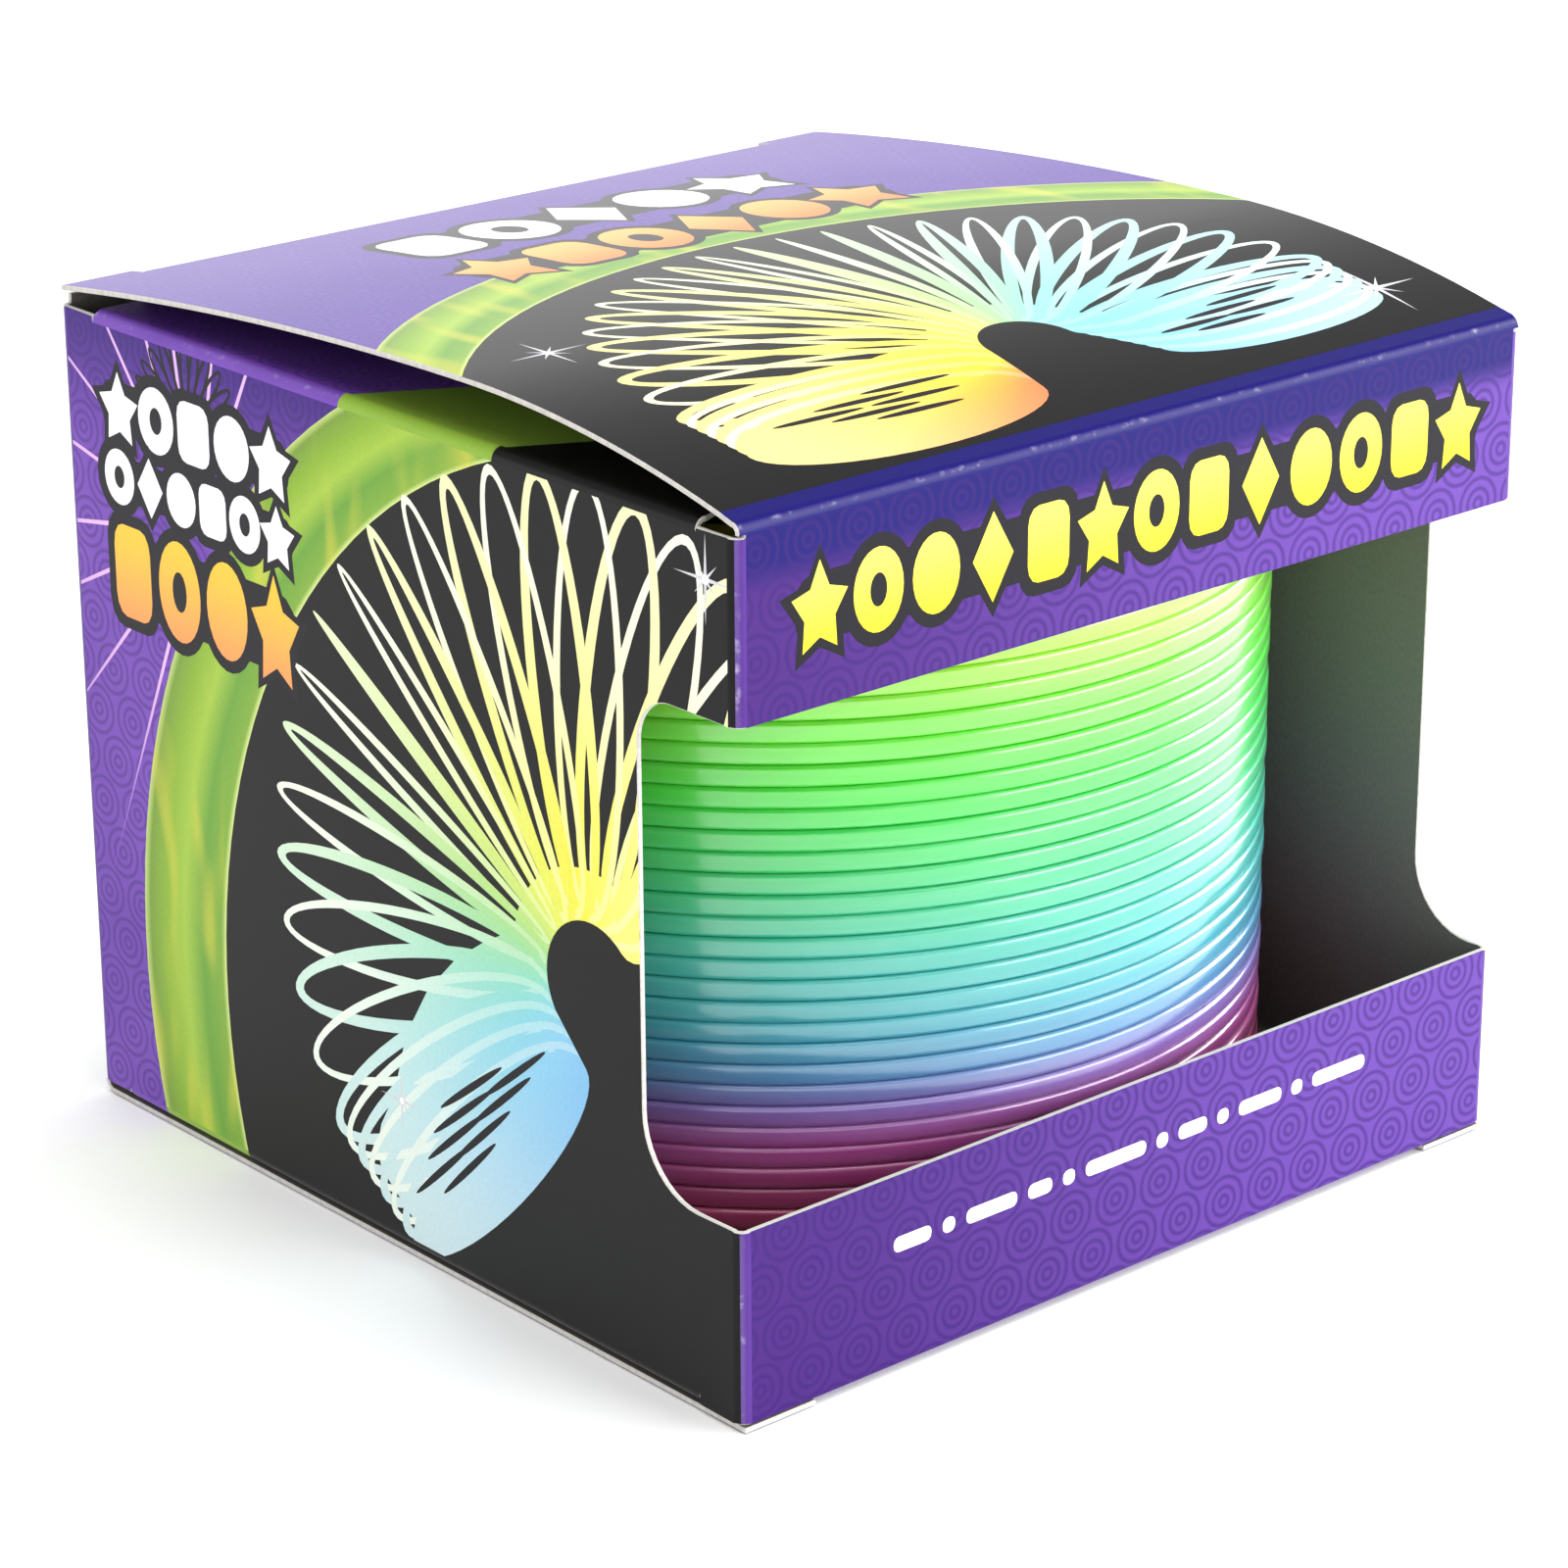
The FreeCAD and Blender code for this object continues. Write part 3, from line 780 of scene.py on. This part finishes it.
def drawn_coil(loops, ink, pale_ink, stacked, solid, slits):
    """A drawn coil: filled near its hub and in its stacks, open loops elsewhere.

    stacked(index) is 0 on an open loop and 1 in a stack; solid is how far an open loop is filled.
    slits lists the (loop index, part of its length) of the dark gaps between stacked turns.
    """
    inks = []
    filled = [loop.at(solid + (0.94 - solid) * stacked(index)) for index, loop in enumerate(loops)]
    inks.append(Ink([tuple(point) for point in filled + [loop.root for loop in reversed(loops)]], ink))
    ends = (loops[0], loops[-1])
    for index, loop in enumerate(loops):
        heavy = index % 2 == 0
        line = 1.05 if heavy else 0.74
        centre = tuple(loop.at(0.5))
        half = max(loop.half, line * 0.55)
        hole = None
        if loop not in ends and half > line + 0.15:
            hole = ellipse(centre, loop.length / 2 - line, half - line, loop.direction)
        inks.append(Ink(ellipse(centre, loop.length / 2, half, loop.direction),
                        ink if heavy or loop in ends else pale_ink, hole))
    for index, part in slits:
        loop = loops[index]
        slit = ellipse(tuple(loop.at(part)), loop.length * 0.15, 0.30, loop.direction, 20)
        inks.append(Ink(slit, "outline"))
    return inks


def sparkle(centre, size):
    return [Ink(star(centre, size, 4, 0.07, 90), "spark"),
            Ink(star(centre, size * 0.5, 4, 0.12, 45), "spark"),
            Ink(ellipse(centre, size * 0.11, size * 0.11, 0, 12), "white")]


def charm(kind, centre, width, height):
    """One plain shape of a printed row: outline and hole, or None."""
    def fit(points):
        return [(centre[0] + x * width / 2, centre[1] + y * height / 2) for x, y in points]

    if kind == "star":
        return fit(star((0, -0.08), 1.16, 5, 0.55)), None
    if kind == "ring":
        return fit(ellipse((0, 0), 1, 1, 0, 28)), fit(ellipse((0, 0), 0.34, 0.40, 0, 20))
    if kind == "diamond":
        return fit(star((0, 0), 1.08, 2, 0.78)), None
    if kind == "block":
        return fit(bar((0, 0), 1.75, 1.85, 0.45)), None
    return fit(ellipse((0, 0), 0.96, 0.96, 0, 26)), None


def charm_row(kinds, start, end, size, material, border):
    """A row of plain shapes on one dark backing. size is the width and height of a shape."""
    kinds = kinds.split()
    width, height = size
    start, end = Vector(start), Vector(end)
    reach = end - start
    turn = Matrix.Rotation(math.atan2(reach.y, reach.x), 2)
    backing = bar((0, 0), reach.length + width, height * 0.8, height * 0.3)
    inks = [Ink([tuple(turn @ Vector(point) + (start + end) / 2) for point in backing], "outline")]
    faces = []
    for index, kind in enumerate(kinds):
        centre = tuple(start.lerp(end, index / (len(kinds) - 1)))
        inks.append(Ink(charm(kind, centre, width + 2 * border, height + 2 * border)[0], "outline"))
        outline, hole = charm(kind, centre, width, height)
        faces.append(Ink(outline, material, hole))
    return inks + faces


def rays(centre, root, far, directions, width):
    return [Ink([polar(centre, root, direction - width), polar(centre, root, direction + width),
                 polar(centre, far, direction)], "ray") for direction in directions]


FAR = 90.0                # beyond every panel


def disc_ground(circle, first, last, material):
    """Everything inside a large circle, whose arc from first to last crosses the panel."""
    centre, radius = circle
    middle = math.radians((first + last) / 2)
    away = Vector((math.cos(middle), math.sin(middle))) * -FAR
    across = Vector((-away.y, away.x))
    corners = [tuple(Vector(centre) + away - across), tuple(Vector(centre) + away + across)]
    return Ink(arc(centre, radius, first, last, 3) + corners, material)


def left_art():
    inks = rays(BADGE, 9.0, 36.0, (98, 112, 128, 148, 168, 190, 206, 226, 246, 62, 78), 1.3)
    inks.append(disc_ground(LEFT_BAND_OUTER, 95, 212, "left_band"))
    inks.append(disc_ground(LEFT_BAND_INNER, 88, 212, "black"))
    fan = fan_loops(LEFT_HUB, 5.0, 37.2, 48.0, 214.0, 20, 148.0, (0.70, 4.3))
    stack = stack_loops(fan[-1], (22.8, 22.2), (2.2, 0.9), 3.5, 7)
    loops = fan + stack
    slits = [(22, 0.44), (23, 0.52), (23, 0.26), (24, 0.60), (24, 0.36), (25, 0.50), (25, 0.72), (26, 0.62)]
    inks += drawn_coil(loops, "left_arch", "left_arch_pale",
                       lambda index: smooth_step((index - 14) / 9), 0.12, slits)
    inks += sparkle((36.2, 61.5), 3.2)
    inks += sparkle((1.0, 12.5), 2.6)
    for index in range(11):
        direction = 24 + 13.2 * index
        centre = polar((-22.8, 58.6), 4.9, direction)
        inks.append(Ink(ellipse(centre, 2.3, 0.66, direction, 20), "outline",
                        ellipse(centre, 1.95, 0.34, direction, 20)))
    for kinds, left, right, v, size, material, border in (
            ("star ring block disc star", -31.8, -12.4, 58.5, (4.6, 5.2), "white", 0.95),
            ("ring diamond disc block ring star", -32.2, -11.9, 53.0, (3.9, 4.4), "white", 0.95),
            ("block ring disc star", -31.0, -12.6, 45.6, (5.4, 8.0), "orange", 1.0)):
        inks += charm_row(kinds, (left, v), (right, v), size, material, border)
    return inks


def mirrored(u, v):
    """The right side's print is the left side's, turned over left to right."""
    return -u, v


BACK_PICTURE_RISE = 44.0


def raised(u, v):
    """The back's picture is the lid's, moved up."""
    return u, v - BACK_PICTURE_RISE


def redrawn(inks, move):
    """The same inks with every point moved."""
    return [Ink([move(*point) for point in ink.outline], ink.material,
                [move(*point) for point in ink.hole] if ink.hole else None) for ink in inks]


def smooth_step(value):
    value = min(1.0, max(0.0, value))
    return value * value * (3 - 2 * value)


def header_art():
    kinds = "star ring disc diamond block star ring block diamond disc ring block star"
    return charm_row(kinds, (-31.2, 58.8), (31.8, 58.8), (4.5, 6.0), "yellow", 1.0)


def footer_art():
    """A small centred row of white dashes and dots."""
    inks = []
    widths = (3.6, 1.2, 5.0, 2.4, 1.2, 6.2, 1.2, 3.0, 1.2, 4.6, 1.2, 5.8)
    gap = 1.1
    left = -(sum(widths) + gap * (len(widths) - 1)) / 2
    for width in widths:
        inks.append(Ink(bar((left + width / 2, 9.9), width, 1.2, 0.5), "white"))
        left += width + gap
    return inks


def lid_picture():
    """The green band, the black ground and the drawn coil."""
    inks = [disc_ground(LID_BAND_OUTER, 20, 160, "lid_band"),
            disc_ground(LID_BAND_INNER, 20, 160, "black")]
    fan = fan_loops(LID_HUB, 4.0, 32.0, 4.0, 178.0, 24, 82.0, (0.46, 3.1))
    first = stack_loops(fan[0], (8.0, -31.6), (31.0, -31.8), 2.9, 6)
    last = stack_loops(fan[-1], (-4.6, -32.8), (-31.2, -32.2), 3.9, 7)
    loops = first[::-1] + fan + last
    ends = len(first), len(loops) - len(last)

    def stacked(index):
        return max(smooth_step((ends[0] + 2 - index) / 6), smooth_step((index - ends[1] + 5) / 7))

    slits = [(1, 0.38), (2, 0.56), (2, 0.28), (3, 0.44), (4, 0.58), (32, 0.34), (33, 0.52), (34, 0.36),
             (34, 0.68), (35, 0.52), (36, 0.40)]
    inks += drawn_coil(loops, "lid_arch", "lid_arch_pale", stacked, 0.13, slits)
    inks += sparkle((31.5, -31.0), 4.2)
    inks += sparkle((-30.0, -9.5), 3.4)
    return inks


def back_art():
    return redrawn(lid_picture(), lambda u, v: (u, v + BACK_PICTURE_RISE))


def lid_art():
    inks = lid_picture()
    inks += charm_row("block ring diamond disc star", (-13.8, 25.0), (16.4, 24.6), (7.0, 9.4), "white",
                      1.0)
    inks += charm_row("star block ring diamond disc star", (-16.2, 13.4), (18.4, 12.6), (6.4, 8.6),
                      "title_orange", 0.9)
    edge = LID_FRONT + 1.3
    inks.append(Ink([(-FAR, -FAR), (FAR, -FAR), (FAR, edge), (-FAR, edge)], "violet"))
    return inks


def carried_over(height, slope=0.0):
    """The left panel's band and black ground where they run over a crease at a height."""
    inks = []
    for ((u, v), radius), material in ((LEFT_BAND_OUTER, "flap_band"), (LEFT_BAND_INNER, "black")):
        edge = u - math.sqrt(radius * radius - (height - v) ** 2)
        inks.append(Ink([(edge, -FAR), (edge, 0.0), (edge + slope * FAR, FAR), (FAR, FAR), (FAR, -FAR)],
                        material))
    return inks


# ---- walls

def side_outline(notch, u_front, u_back):
    """A side panel. u_front and u_back are the signed u of its front and back edges."""
    sign = -1 if u_front > u_back else 1
    front = FRONT + CREASE
    back = sign * u_back
    low_front, low_back = BOTTOM_DUST_Y
    top_front, top_back = TOP_DUST_Y
    points = [
        (front, FOOTER_BOTTOM), (low_front, FOOTER_BOTTOM), (low_front, SIDE_BOTTOM + CREASE),
        (low_back, SIDE_BOTTOM + CREASE), (low_back, REAR_BOTTOM), (back, REAR_BOTTOM),
        (back, REAR_TOP), (top_back, REAR_TOP), (top_back, SIDE_TOP - CREASE),
        (top_front, SIDE_TOP - CREASE), (top_front, CORNER_TOP), (front, CORNER_TOP),
        (front, HEADER_BOTTOM),
    ]
    for edge, radius, rise, start in ((HEADER_BOTTOM, NOTCH_TOP_RADIUS, -1, 90),
                                      (FOOTER_TOP, NOTCH_BOTTOM_RADIUS, 1, 0)):
        points += arc((FRONT + notch - radius, edge + rise * radius), radius, start, start - 90)
    points.append((front, FOOTER_TOP))
    return [(sign * y, z) for y, z in points]


def rectangle(u_from, u_to, v_from, v_to):
    return [(u_from, v_from), (u_to, v_from), (u_to, v_to), (u_from, v_to)]


def near(value, target, slack=0.01):
    return abs(value - target) < slack


def make_side(node, notch, place, u_front, u_back, inks, sheet=as_drawn):
    def joined(u, v):
        return (near(u, u_front) or near(u, u_back)
                or near(v, SIDE_BOTTOM + CREASE) or near(v, SIDE_TOP - CREASE))

    panel(node, "carton_walls", side_outline(notch, u_front, u_back), place, "side", inks,
          joined=joined, sheet=sheet)


def make_front(node, low, high, inks, joined_top):
    reach = RIGHT - CREASE
    panel(node, "carton_walls", rectangle(-reach, reach, low, high), on_front, "front", inks,
          joined=lambda u, v: near(abs(u), reach) or (joined_top and near(v, high)))


def make_walls():
    make_side("left_panel", LEFT_NOTCH, on_left, -FRONT - CREASE, -BACK + CREASE, left_art())
    make_side("right_panel", RIGHT_NOTCH, on_right, FRONT + CREASE, GLUE_FACE - CREASE,
              redrawn(left_art(), mirrored), mirrored)
    make_front("front_header", HEADER_BOTTOM, HEADER_TOP, header_art(), True)
    make_front("front_footer", FOOTER_BOTTOM, FOOTER_TOP, footer_art(), False)
    edge = RIGHT - CREASE
    panel("back_panel", "carton_walls", rectangle(-BACK_RIGHT, edge, CREASE, BACK_TOP), on_back, "back",
          back_art(), joined=lambda u, v: near(u, edge) or near(v, CREASE), sheet=raised)
    end = -span("glue_flap", X)[0]
    rise = (end + edge) * GLUE_SLOPE
    points = [(-edge, REAR_BOTTOM), (end, REAR_BOTTOM + rise), (end, REAR_TOP - rise), (-edge, REAR_TOP)]
    panel("glue_flap", "carton_walls", points, on_glue, "back", joined=lambda u, v: near(u, -edge))


def between(low, high, count):
    return [low + (high - low) * step / count for step in range(1, count)]


def grid(u_range, columns, v_range, rows):
    """Cuts that share a rectangle into equal columns, and those that share it into equal rows."""
    (left, right), (low, high) = u_range, v_range
    return ([((u, low - 1), (u, high + 1)) for u in between(left, right, columns)],
            [((left - 1, v), (right + 1, v)) for v in between(low, high, rows)])


def upright(node, centre, start, spans, side_part=None):
    """A vertical crease. Its bent coordinate runs along u, its length along v.

    side_part is the part of the bend, from and to, where the side panel's black print carries on.
    """
    length = fold_length(start, start + 90)
    bend = folded(Z, centre, start, start + 90, 1)
    for (low, high), suffix in spans:
        along, across = grid((0, length), FOLD_STEPS, (low, high), int((high - low) / UPRIGHT_GRID))
        inks = []
        if side_part:
            first, last = side_part
            inks.append(Ink(rectangle(first * length, last * length, low - 1, high + 1), "black"))
        worn = crest(length)
        piece = board(node + "_board" + suffix, rectangle(0, length, low, high),
                      lambda u, v, depth: bend(v, u, depth), "crease", inks, along + across,
                      lambda u, v: near(u, 0) or near(u, length), lambda u, v: worn(v, u))
        settle(piece, "carton_walls", node)


def make_upright_creases():
    front = [((FOOTER_BOTTOM, FOOTER_TOP), "_lower"), ((HEADER_BOTTOM, CORNER_TOP), "_upper")]
    rear = [((REAR_BOTTOM, REAR_TOP), "")]
    upright("front_left_crease", (LEFT + CREASE, FRONT + CREASE), 180, front, (-1.0, 0.42))
    upright("front_right_crease", (RIGHT - CREASE, FRONT + CREASE), 270, front, (0.58, 2.0))
    upright("back_left_crease", (LEFT + CREASE, BACK - CREASE), 90, rear)
    upright("back_right_crease", (RIGHT - CREASE, GLUE_FACE - CREASE), 0, rear)


# ---- moving flaps

def bending_crease(node, bodies, axis, centre, turn, side, u_range, base, inks=(), sheet=as_drawn):
    """A crease between the two parts that it joins, built in its bent shape and baked in place."""
    length = fold_length(*turn)
    place = folded(axis, centre, *turn, side)
    low, high = u_range
    across, along = grid(u_range, int((high - low) / BENDING_GRID), (0, length), FOLD_STEPS)
    piece = board(node + "_board", rectangle(low, high, 0, length), place, base, inks, along + across,
                  lambda u, v: near(v, 0) or near(v, length), crest(length), sheet)
    ends = [Vector(place((low + high) / 2, bent, BOARD / 2)) * MM for bent in (0.0, length)]
    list(bodies)
    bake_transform(piece)
    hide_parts(node)


def lid_ends():
    """At the lid's front end, then its rear: its normal's angle, its crease's centre and its Y."""
    front = math.acos((LID_FRONT - LID_PEAK_Y) / LID_FRONT_BOW)
    rear = math.acos((TUCK_FACE - CREASE - LID_PEAK_Y) / (LID_REAR_BOW - CREASE))
    ends = []
    for angle, radius in ((front, LID_FRONT_BOW), (rear, LID_REAR_BOW)):
        y = LID_PEAK_Y + radius * math.cos(angle)
        ends.append((math.degrees(angle), on_lid(0, y, CREASE)[1:], y))
    return ends


def make_closure(node, body, place, base, hinge, ear_end, root, inks=(), cuts=()):
    """The lid or bottom panel, with a slit ear on each side of its tuck crease."""
    ear = LID_EDGE - EAR_WIDTH
    outline = [(-LID_EDGE, hinge), (LID_EDGE, hinge), (LID_EDGE, ear_end), (ear, ear_end), (ear, root),
               (-ear, root), (-ear, ear_end), (-LID_EDGE, ear_end)]
    panel(node, body, outline, place, base, inks, cuts,
          lambda u, v: near(v, hinge) or (near(v, root) and abs(u) < TUCK_EDGE))


def make_lid():
    rear = lid_ends()[1][2]
    _, cuts = grid((-LID_EDGE, LID_EDGE), 1, (LID_FRONT, BACK), LID_ROWS)
    make_closure("lid_panel", "lid", on_lid, "lid", LID_FRONT, BACK, rear, lid_art(), cuts)


def make_bottom():
    make_closure("bottom_panel", "bottom", on_bottom, "back", -BACK + CREASE, -FRONT, TUCK_FACE - CREASE)


def make_tuck(node, body, length, face, inward, root, away):
    """A tuck flap: inward is the sign of Y into the carton, away the sign of Z away from its crease."""
    def place(u, v, depth):
        return (u, face + inward * (TUCK_LEAN * v / length + depth), root + away * v)

    corner = TUCK_EDGE - TUCK_CORNER
    outline = ([(TUCK_EDGE, 0), (-TUCK_EDGE, 0)]
               + arc((-corner, length - TUCK_CORNER), TUCK_CORNER, 180, 90, 15)
               + arc((corner, length - TUCK_CORNER), TUCK_CORNER, 90, 0, 15))
    panel(node, body, outline, place, "back", joined=lambda u, v: near(v, 0))


def make_tucks():
    make_tuck("lid_tuck_flap", "lid_tuck", TUCK_ROOT - LID_TUCK_END, TUCK_FACE, -1, TUCK_ROOT, -1)
    make_tuck("bottom_tuck_flap", "bottom_tuck", BOTTOM_TUCK_END - CREASE, -TUCK_FACE, 1, CREASE, 1)


def make_dust_flap(level, word, side, sign, y_ends, face, inks, sheet):
    """A dust flap. sign is 1 on an upper one, whose print faces up, and -1 on a lower one."""
    def place(u, v, depth):
        return (side * (RIGHT - abs(v)), side * u, face - sign * depth)

    hinged, free = y_ends
    toward = math.copysign(1, free - hinged)
    length = DUST_END_X - LEFT
    points = [(hinged, CREASE), (hinged + toward * DUST_TAPER * length, length),
              (free - toward * DUST_CORNER, length), (free, length - DUST_CORNER), (free, CREASE)]
    panel(level + "_dust_flap_" + word, level + "_dust_" + word,
          [(side * y, sign * away) for y, away in points], place, "side", inks,
          joined=lambda u, v: near(v, sign * CREASE), sheet=sheet)


DUST_SIDES = ((-1, "left", as_drawn), (1, "right", mirrored))


def make_dust_flaps():
    for side, word, sheet in DUST_SIDES:
        # The side panel's print carries on over the crease, bending away towards the front
        art = redrawn(carried_over(SIDE_TOP - CREASE, 0.55), sheet)
        make_dust_flap("top", word, side, 1, TOP_DUST_Y, SIDE_TOP, art, sheet)
        make_dust_flap("bottom", word, side, -1, BOTTOM_DUST_Y[::-1], SIDE_BOTTOM, (), as_drawn)


def make_bending_creases():
    (front_angle, front_centre, _), (rear_angle, rear_centre, _) = lid_ends()
    for node, bodies, centre, turn, side, edge, base in (
            ("lid_crease", ("carton_walls", "lid"), front_centre, (180, front_angle), 1, LID_EDGE,
             "violet"),
            ("lid_tuck_crease", ("lid", "lid_tuck"), rear_centre, (rear_angle, 0), 1, TUCK_EDGE,
             "crease"),
            ("bottom_crease", ("bottom", "carton_walls"), (BACK - CREASE, CREASE), (270, 360), -1,
             LID_EDGE, "crease"),
            ("bottom_tuck_crease", ("bottom", "bottom_tuck"), (CREASE - TUCK_FACE, CREASE), (270, 180),
             1, TUCK_EDGE, "crease")):
        bending_crease(node, bodies, X, centre, turn, side, (-edge, edge), base)
    for side, word, sheet in DUST_SIDES:
        for level, bodies, y_range, z, turn in (
                ("top", ("carton_walls", "top_dust_" + word), TOP_DUST_Y, SIDE_TOP - CREASE,
                 (90 - 90 * side, 90)),
                ("bottom", ("bottom_dust_" + word, "carton_walls"), BOTTOM_DUST_Y,
                 SIDE_BOTTOM + CREASE, (270, 270 + 90 * side))):
            bending_crease(level + "_dust_crease_" + word, bodies, Y, (side * (RIGHT - CREASE), z), turn,
                           side, sorted(side * y for y in y_range), "side_crease",
                           redrawn(carried_over(z), sheet), sheet)


# ---- coil

COIL_STEPS = 132          # segments to a turn
MOST_WANDER = 0.09        # how far in the turns sit, so that their wander stays inside the radius
TURN_PRINT = 10.0         # length of a turn in the material's own coordinates


def make_coil():
    # The ribbon's cross-section, as (inward, up) pairs from its outer face and lower side
    inner = RIBBON_WIDTH - RIBBON_ROUND
    upper = RIBBON_THICKNESS - RIBBON_ROUND
    profile = []
    for corner, start in (((RIBBON_ROUND, upper), 180), ((inner, upper), 90), ((inner, RIBBON_ROUND), 0),
                          ((RIBBON_ROUND, RIBBON_ROUND), -90)):
        profile += arc(corner, RIBBON_ROUND, start, start - 90, 22.5)
    sides = len(profile)
    rings = TURNS * COIL_STEPS + 1
    places = []
    flat = []
    for ring in range(rings):
        turn = ring / COIL_STEPS
        angle = 2 * math.pi * turn
        wander = 0.05 * math.sin(turn * 2.4) + 0.03 * math.sin(turn * 5.1 + 1.0)
        base = COIL_BOTTOM + TURN_PITCH * turn
        for inward, up in profile:
            radius = COIL_RADIUS - MOST_WANDER + wander - inward
            places.append((radius * math.cos(angle) * MM, radius * math.sin(angle) * MM, (base + up) * MM))
            flat.append((turn * TURN_PRINT, base + up))
    faces = []
    for ring in range(rings - 1):
        for side in range(sides):
            one = ring * sides + side
            other = ring * sides + (side + 1) % sides
            faces.append((one, one + sides, other + sides, other))
    faces.append(tuple(range(sides)))
    faces.append(tuple((rings - 1) * sides + side for side in range(sides - 1, -1, -1)))
    piece = add_mesh("spring_coil", places, faces, flat, ["coil"], 60)
    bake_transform(piece)
    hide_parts("coil_base_turns", "coil_lower_transition", "coil_middle_turns",
                "coil_upper_transition", "coil_top_turns")


# ---- stage

# The stage is laid out in metres
CAMERA_PLACE = (-0.23530, -0.26864, 0.16128)
CAMERA_AZIMUTH = -41.21
CAMERA_ELEVATION = 20.53
CAMERA_ROLL = -0.25
CAMERA_LENS = 112.75
FLOOR_REACH = 4.0
FLOOR_GAP = 0.0001        # keeps the floor and the carton's underside apart
SKY = ((0.00, 1.9), (0.20, 1.7), (0.45, 0.45), (0.80, 0.45), (0.88, 2.9), (1.00, 2.9))
LIT_HEIGHT = 0.035        # the lights aim at the middle of the carton

# Name, degrees round to the right from the front, degrees up, distance, size, power
LIGHTS = (
    ("key", 28.0, 20.0, 0.90, (0.7, 0.5), 6.4),
    ("side", 75.5, 15.7, 0.66, (0.4, 0.4), 4.0),
)


def towards(azimuth, elevation):
    """Unit vector pointing some degrees round to the right from the front, and some degrees up."""
    across, up = math.radians(azimuth), math.radians(elevation)
    return Vector((math.sin(across) * math.cos(up), -math.cos(across) * math.cos(up), math.sin(up)))


def make_camera():
    back = towards(CAMERA_AZIMUTH, CAMERA_ELEVATION)
    right = (-back).cross(Vector((0, 0, 1))).normalized()
    up = back.cross(right)
    turn = Matrix((right, up, back)).transposed() @ Matrix.Rotation(math.radians(CAMERA_ROLL), 3, "Z")
    data = bpy.data.cameras.new("camera")
    data.lens = CAMERA_LENS
    data.sensor_width = 36.0
    data.clip_start = 0.01
    camera = add_object("camera", data)
    camera.matrix_world = Matrix.Translation(CAMERA_PLACE) @ turn.to_4x4()
    bpy.context.scene.camera = camera


def make_light(name, place, size, power):
    data = bpy.data.lights.new(name, "AREA")
    data.shape = "RECTANGLE"
    data.size, data.size_y = size
    data.energy = power
    light = add_object(name, data)
    light.location = place
    light.rotation_euler = (Vector((0, 0, LIT_HEIGHT)) - place).to_track_quat("-Z", "Y").to_euler()


def make_floor():
    graph = Graph("floor_paper")
    grain = graph.noise(900.0, 3.0, graph.node("TexCoord").outputs["Object"])
    colour = graph.mix(graph.math("MULTIPLY", grain, 0.05), linear(250, 250, 250), linear(236, 236, 238))
    material = graph.finish(colour, 0.75, specular=0.2)
    mesh = bpy.data.meshes.new("floor")
    corners = rectangle(-FLOOR_REACH, FLOOR_REACH, -FLOOR_REACH, FLOOR_REACH)
    mesh.from_pydata([(x, y, 0) for x, y in corners], [], [(0, 1, 2, 3)])
    mesh.materials.append(material)
    floor = add_object("floor", mesh)
    floor.location.z = -FLOOR_GAP


def make_sky():
    """Studio surround: a bright horizon, a dimmer wall above it and a soft box overhead."""
    graph = Graph("studio", bpy.data.worlds, "Background")
    direction = graph.node("TexCoord").outputs["Generated"]
    brightest = max(strength for _, strength in SKY)
    stops = [(height, (strength / brightest,) * 3 + (1.0,)) for height, strength in SKY]
    graph.link(graph.ramp(graph.separate(direction)["Z"], stops), graph.shader.inputs["Color"])
    graph.shader.inputs["Strength"].default_value = brightest
    bpy.context.scene.world = graph.owner


def make_stage():
    make_sky()
    for name, azimuth, elevation, distance, size, power in LIGHTS:
        make_light(name, towards(azimuth, elevation) * distance, size, power)
    make_floor()
    make_camera()
    bpy.context.scene.view_settings.view_transform = "Standard"


MATERIALS = make_materials()
make_walls()
make_upright_creases()
make_lid()
make_tucks()
make_dust_flaps()
make_bending_creases()
make_bottom()
make_coil()
make_stage()
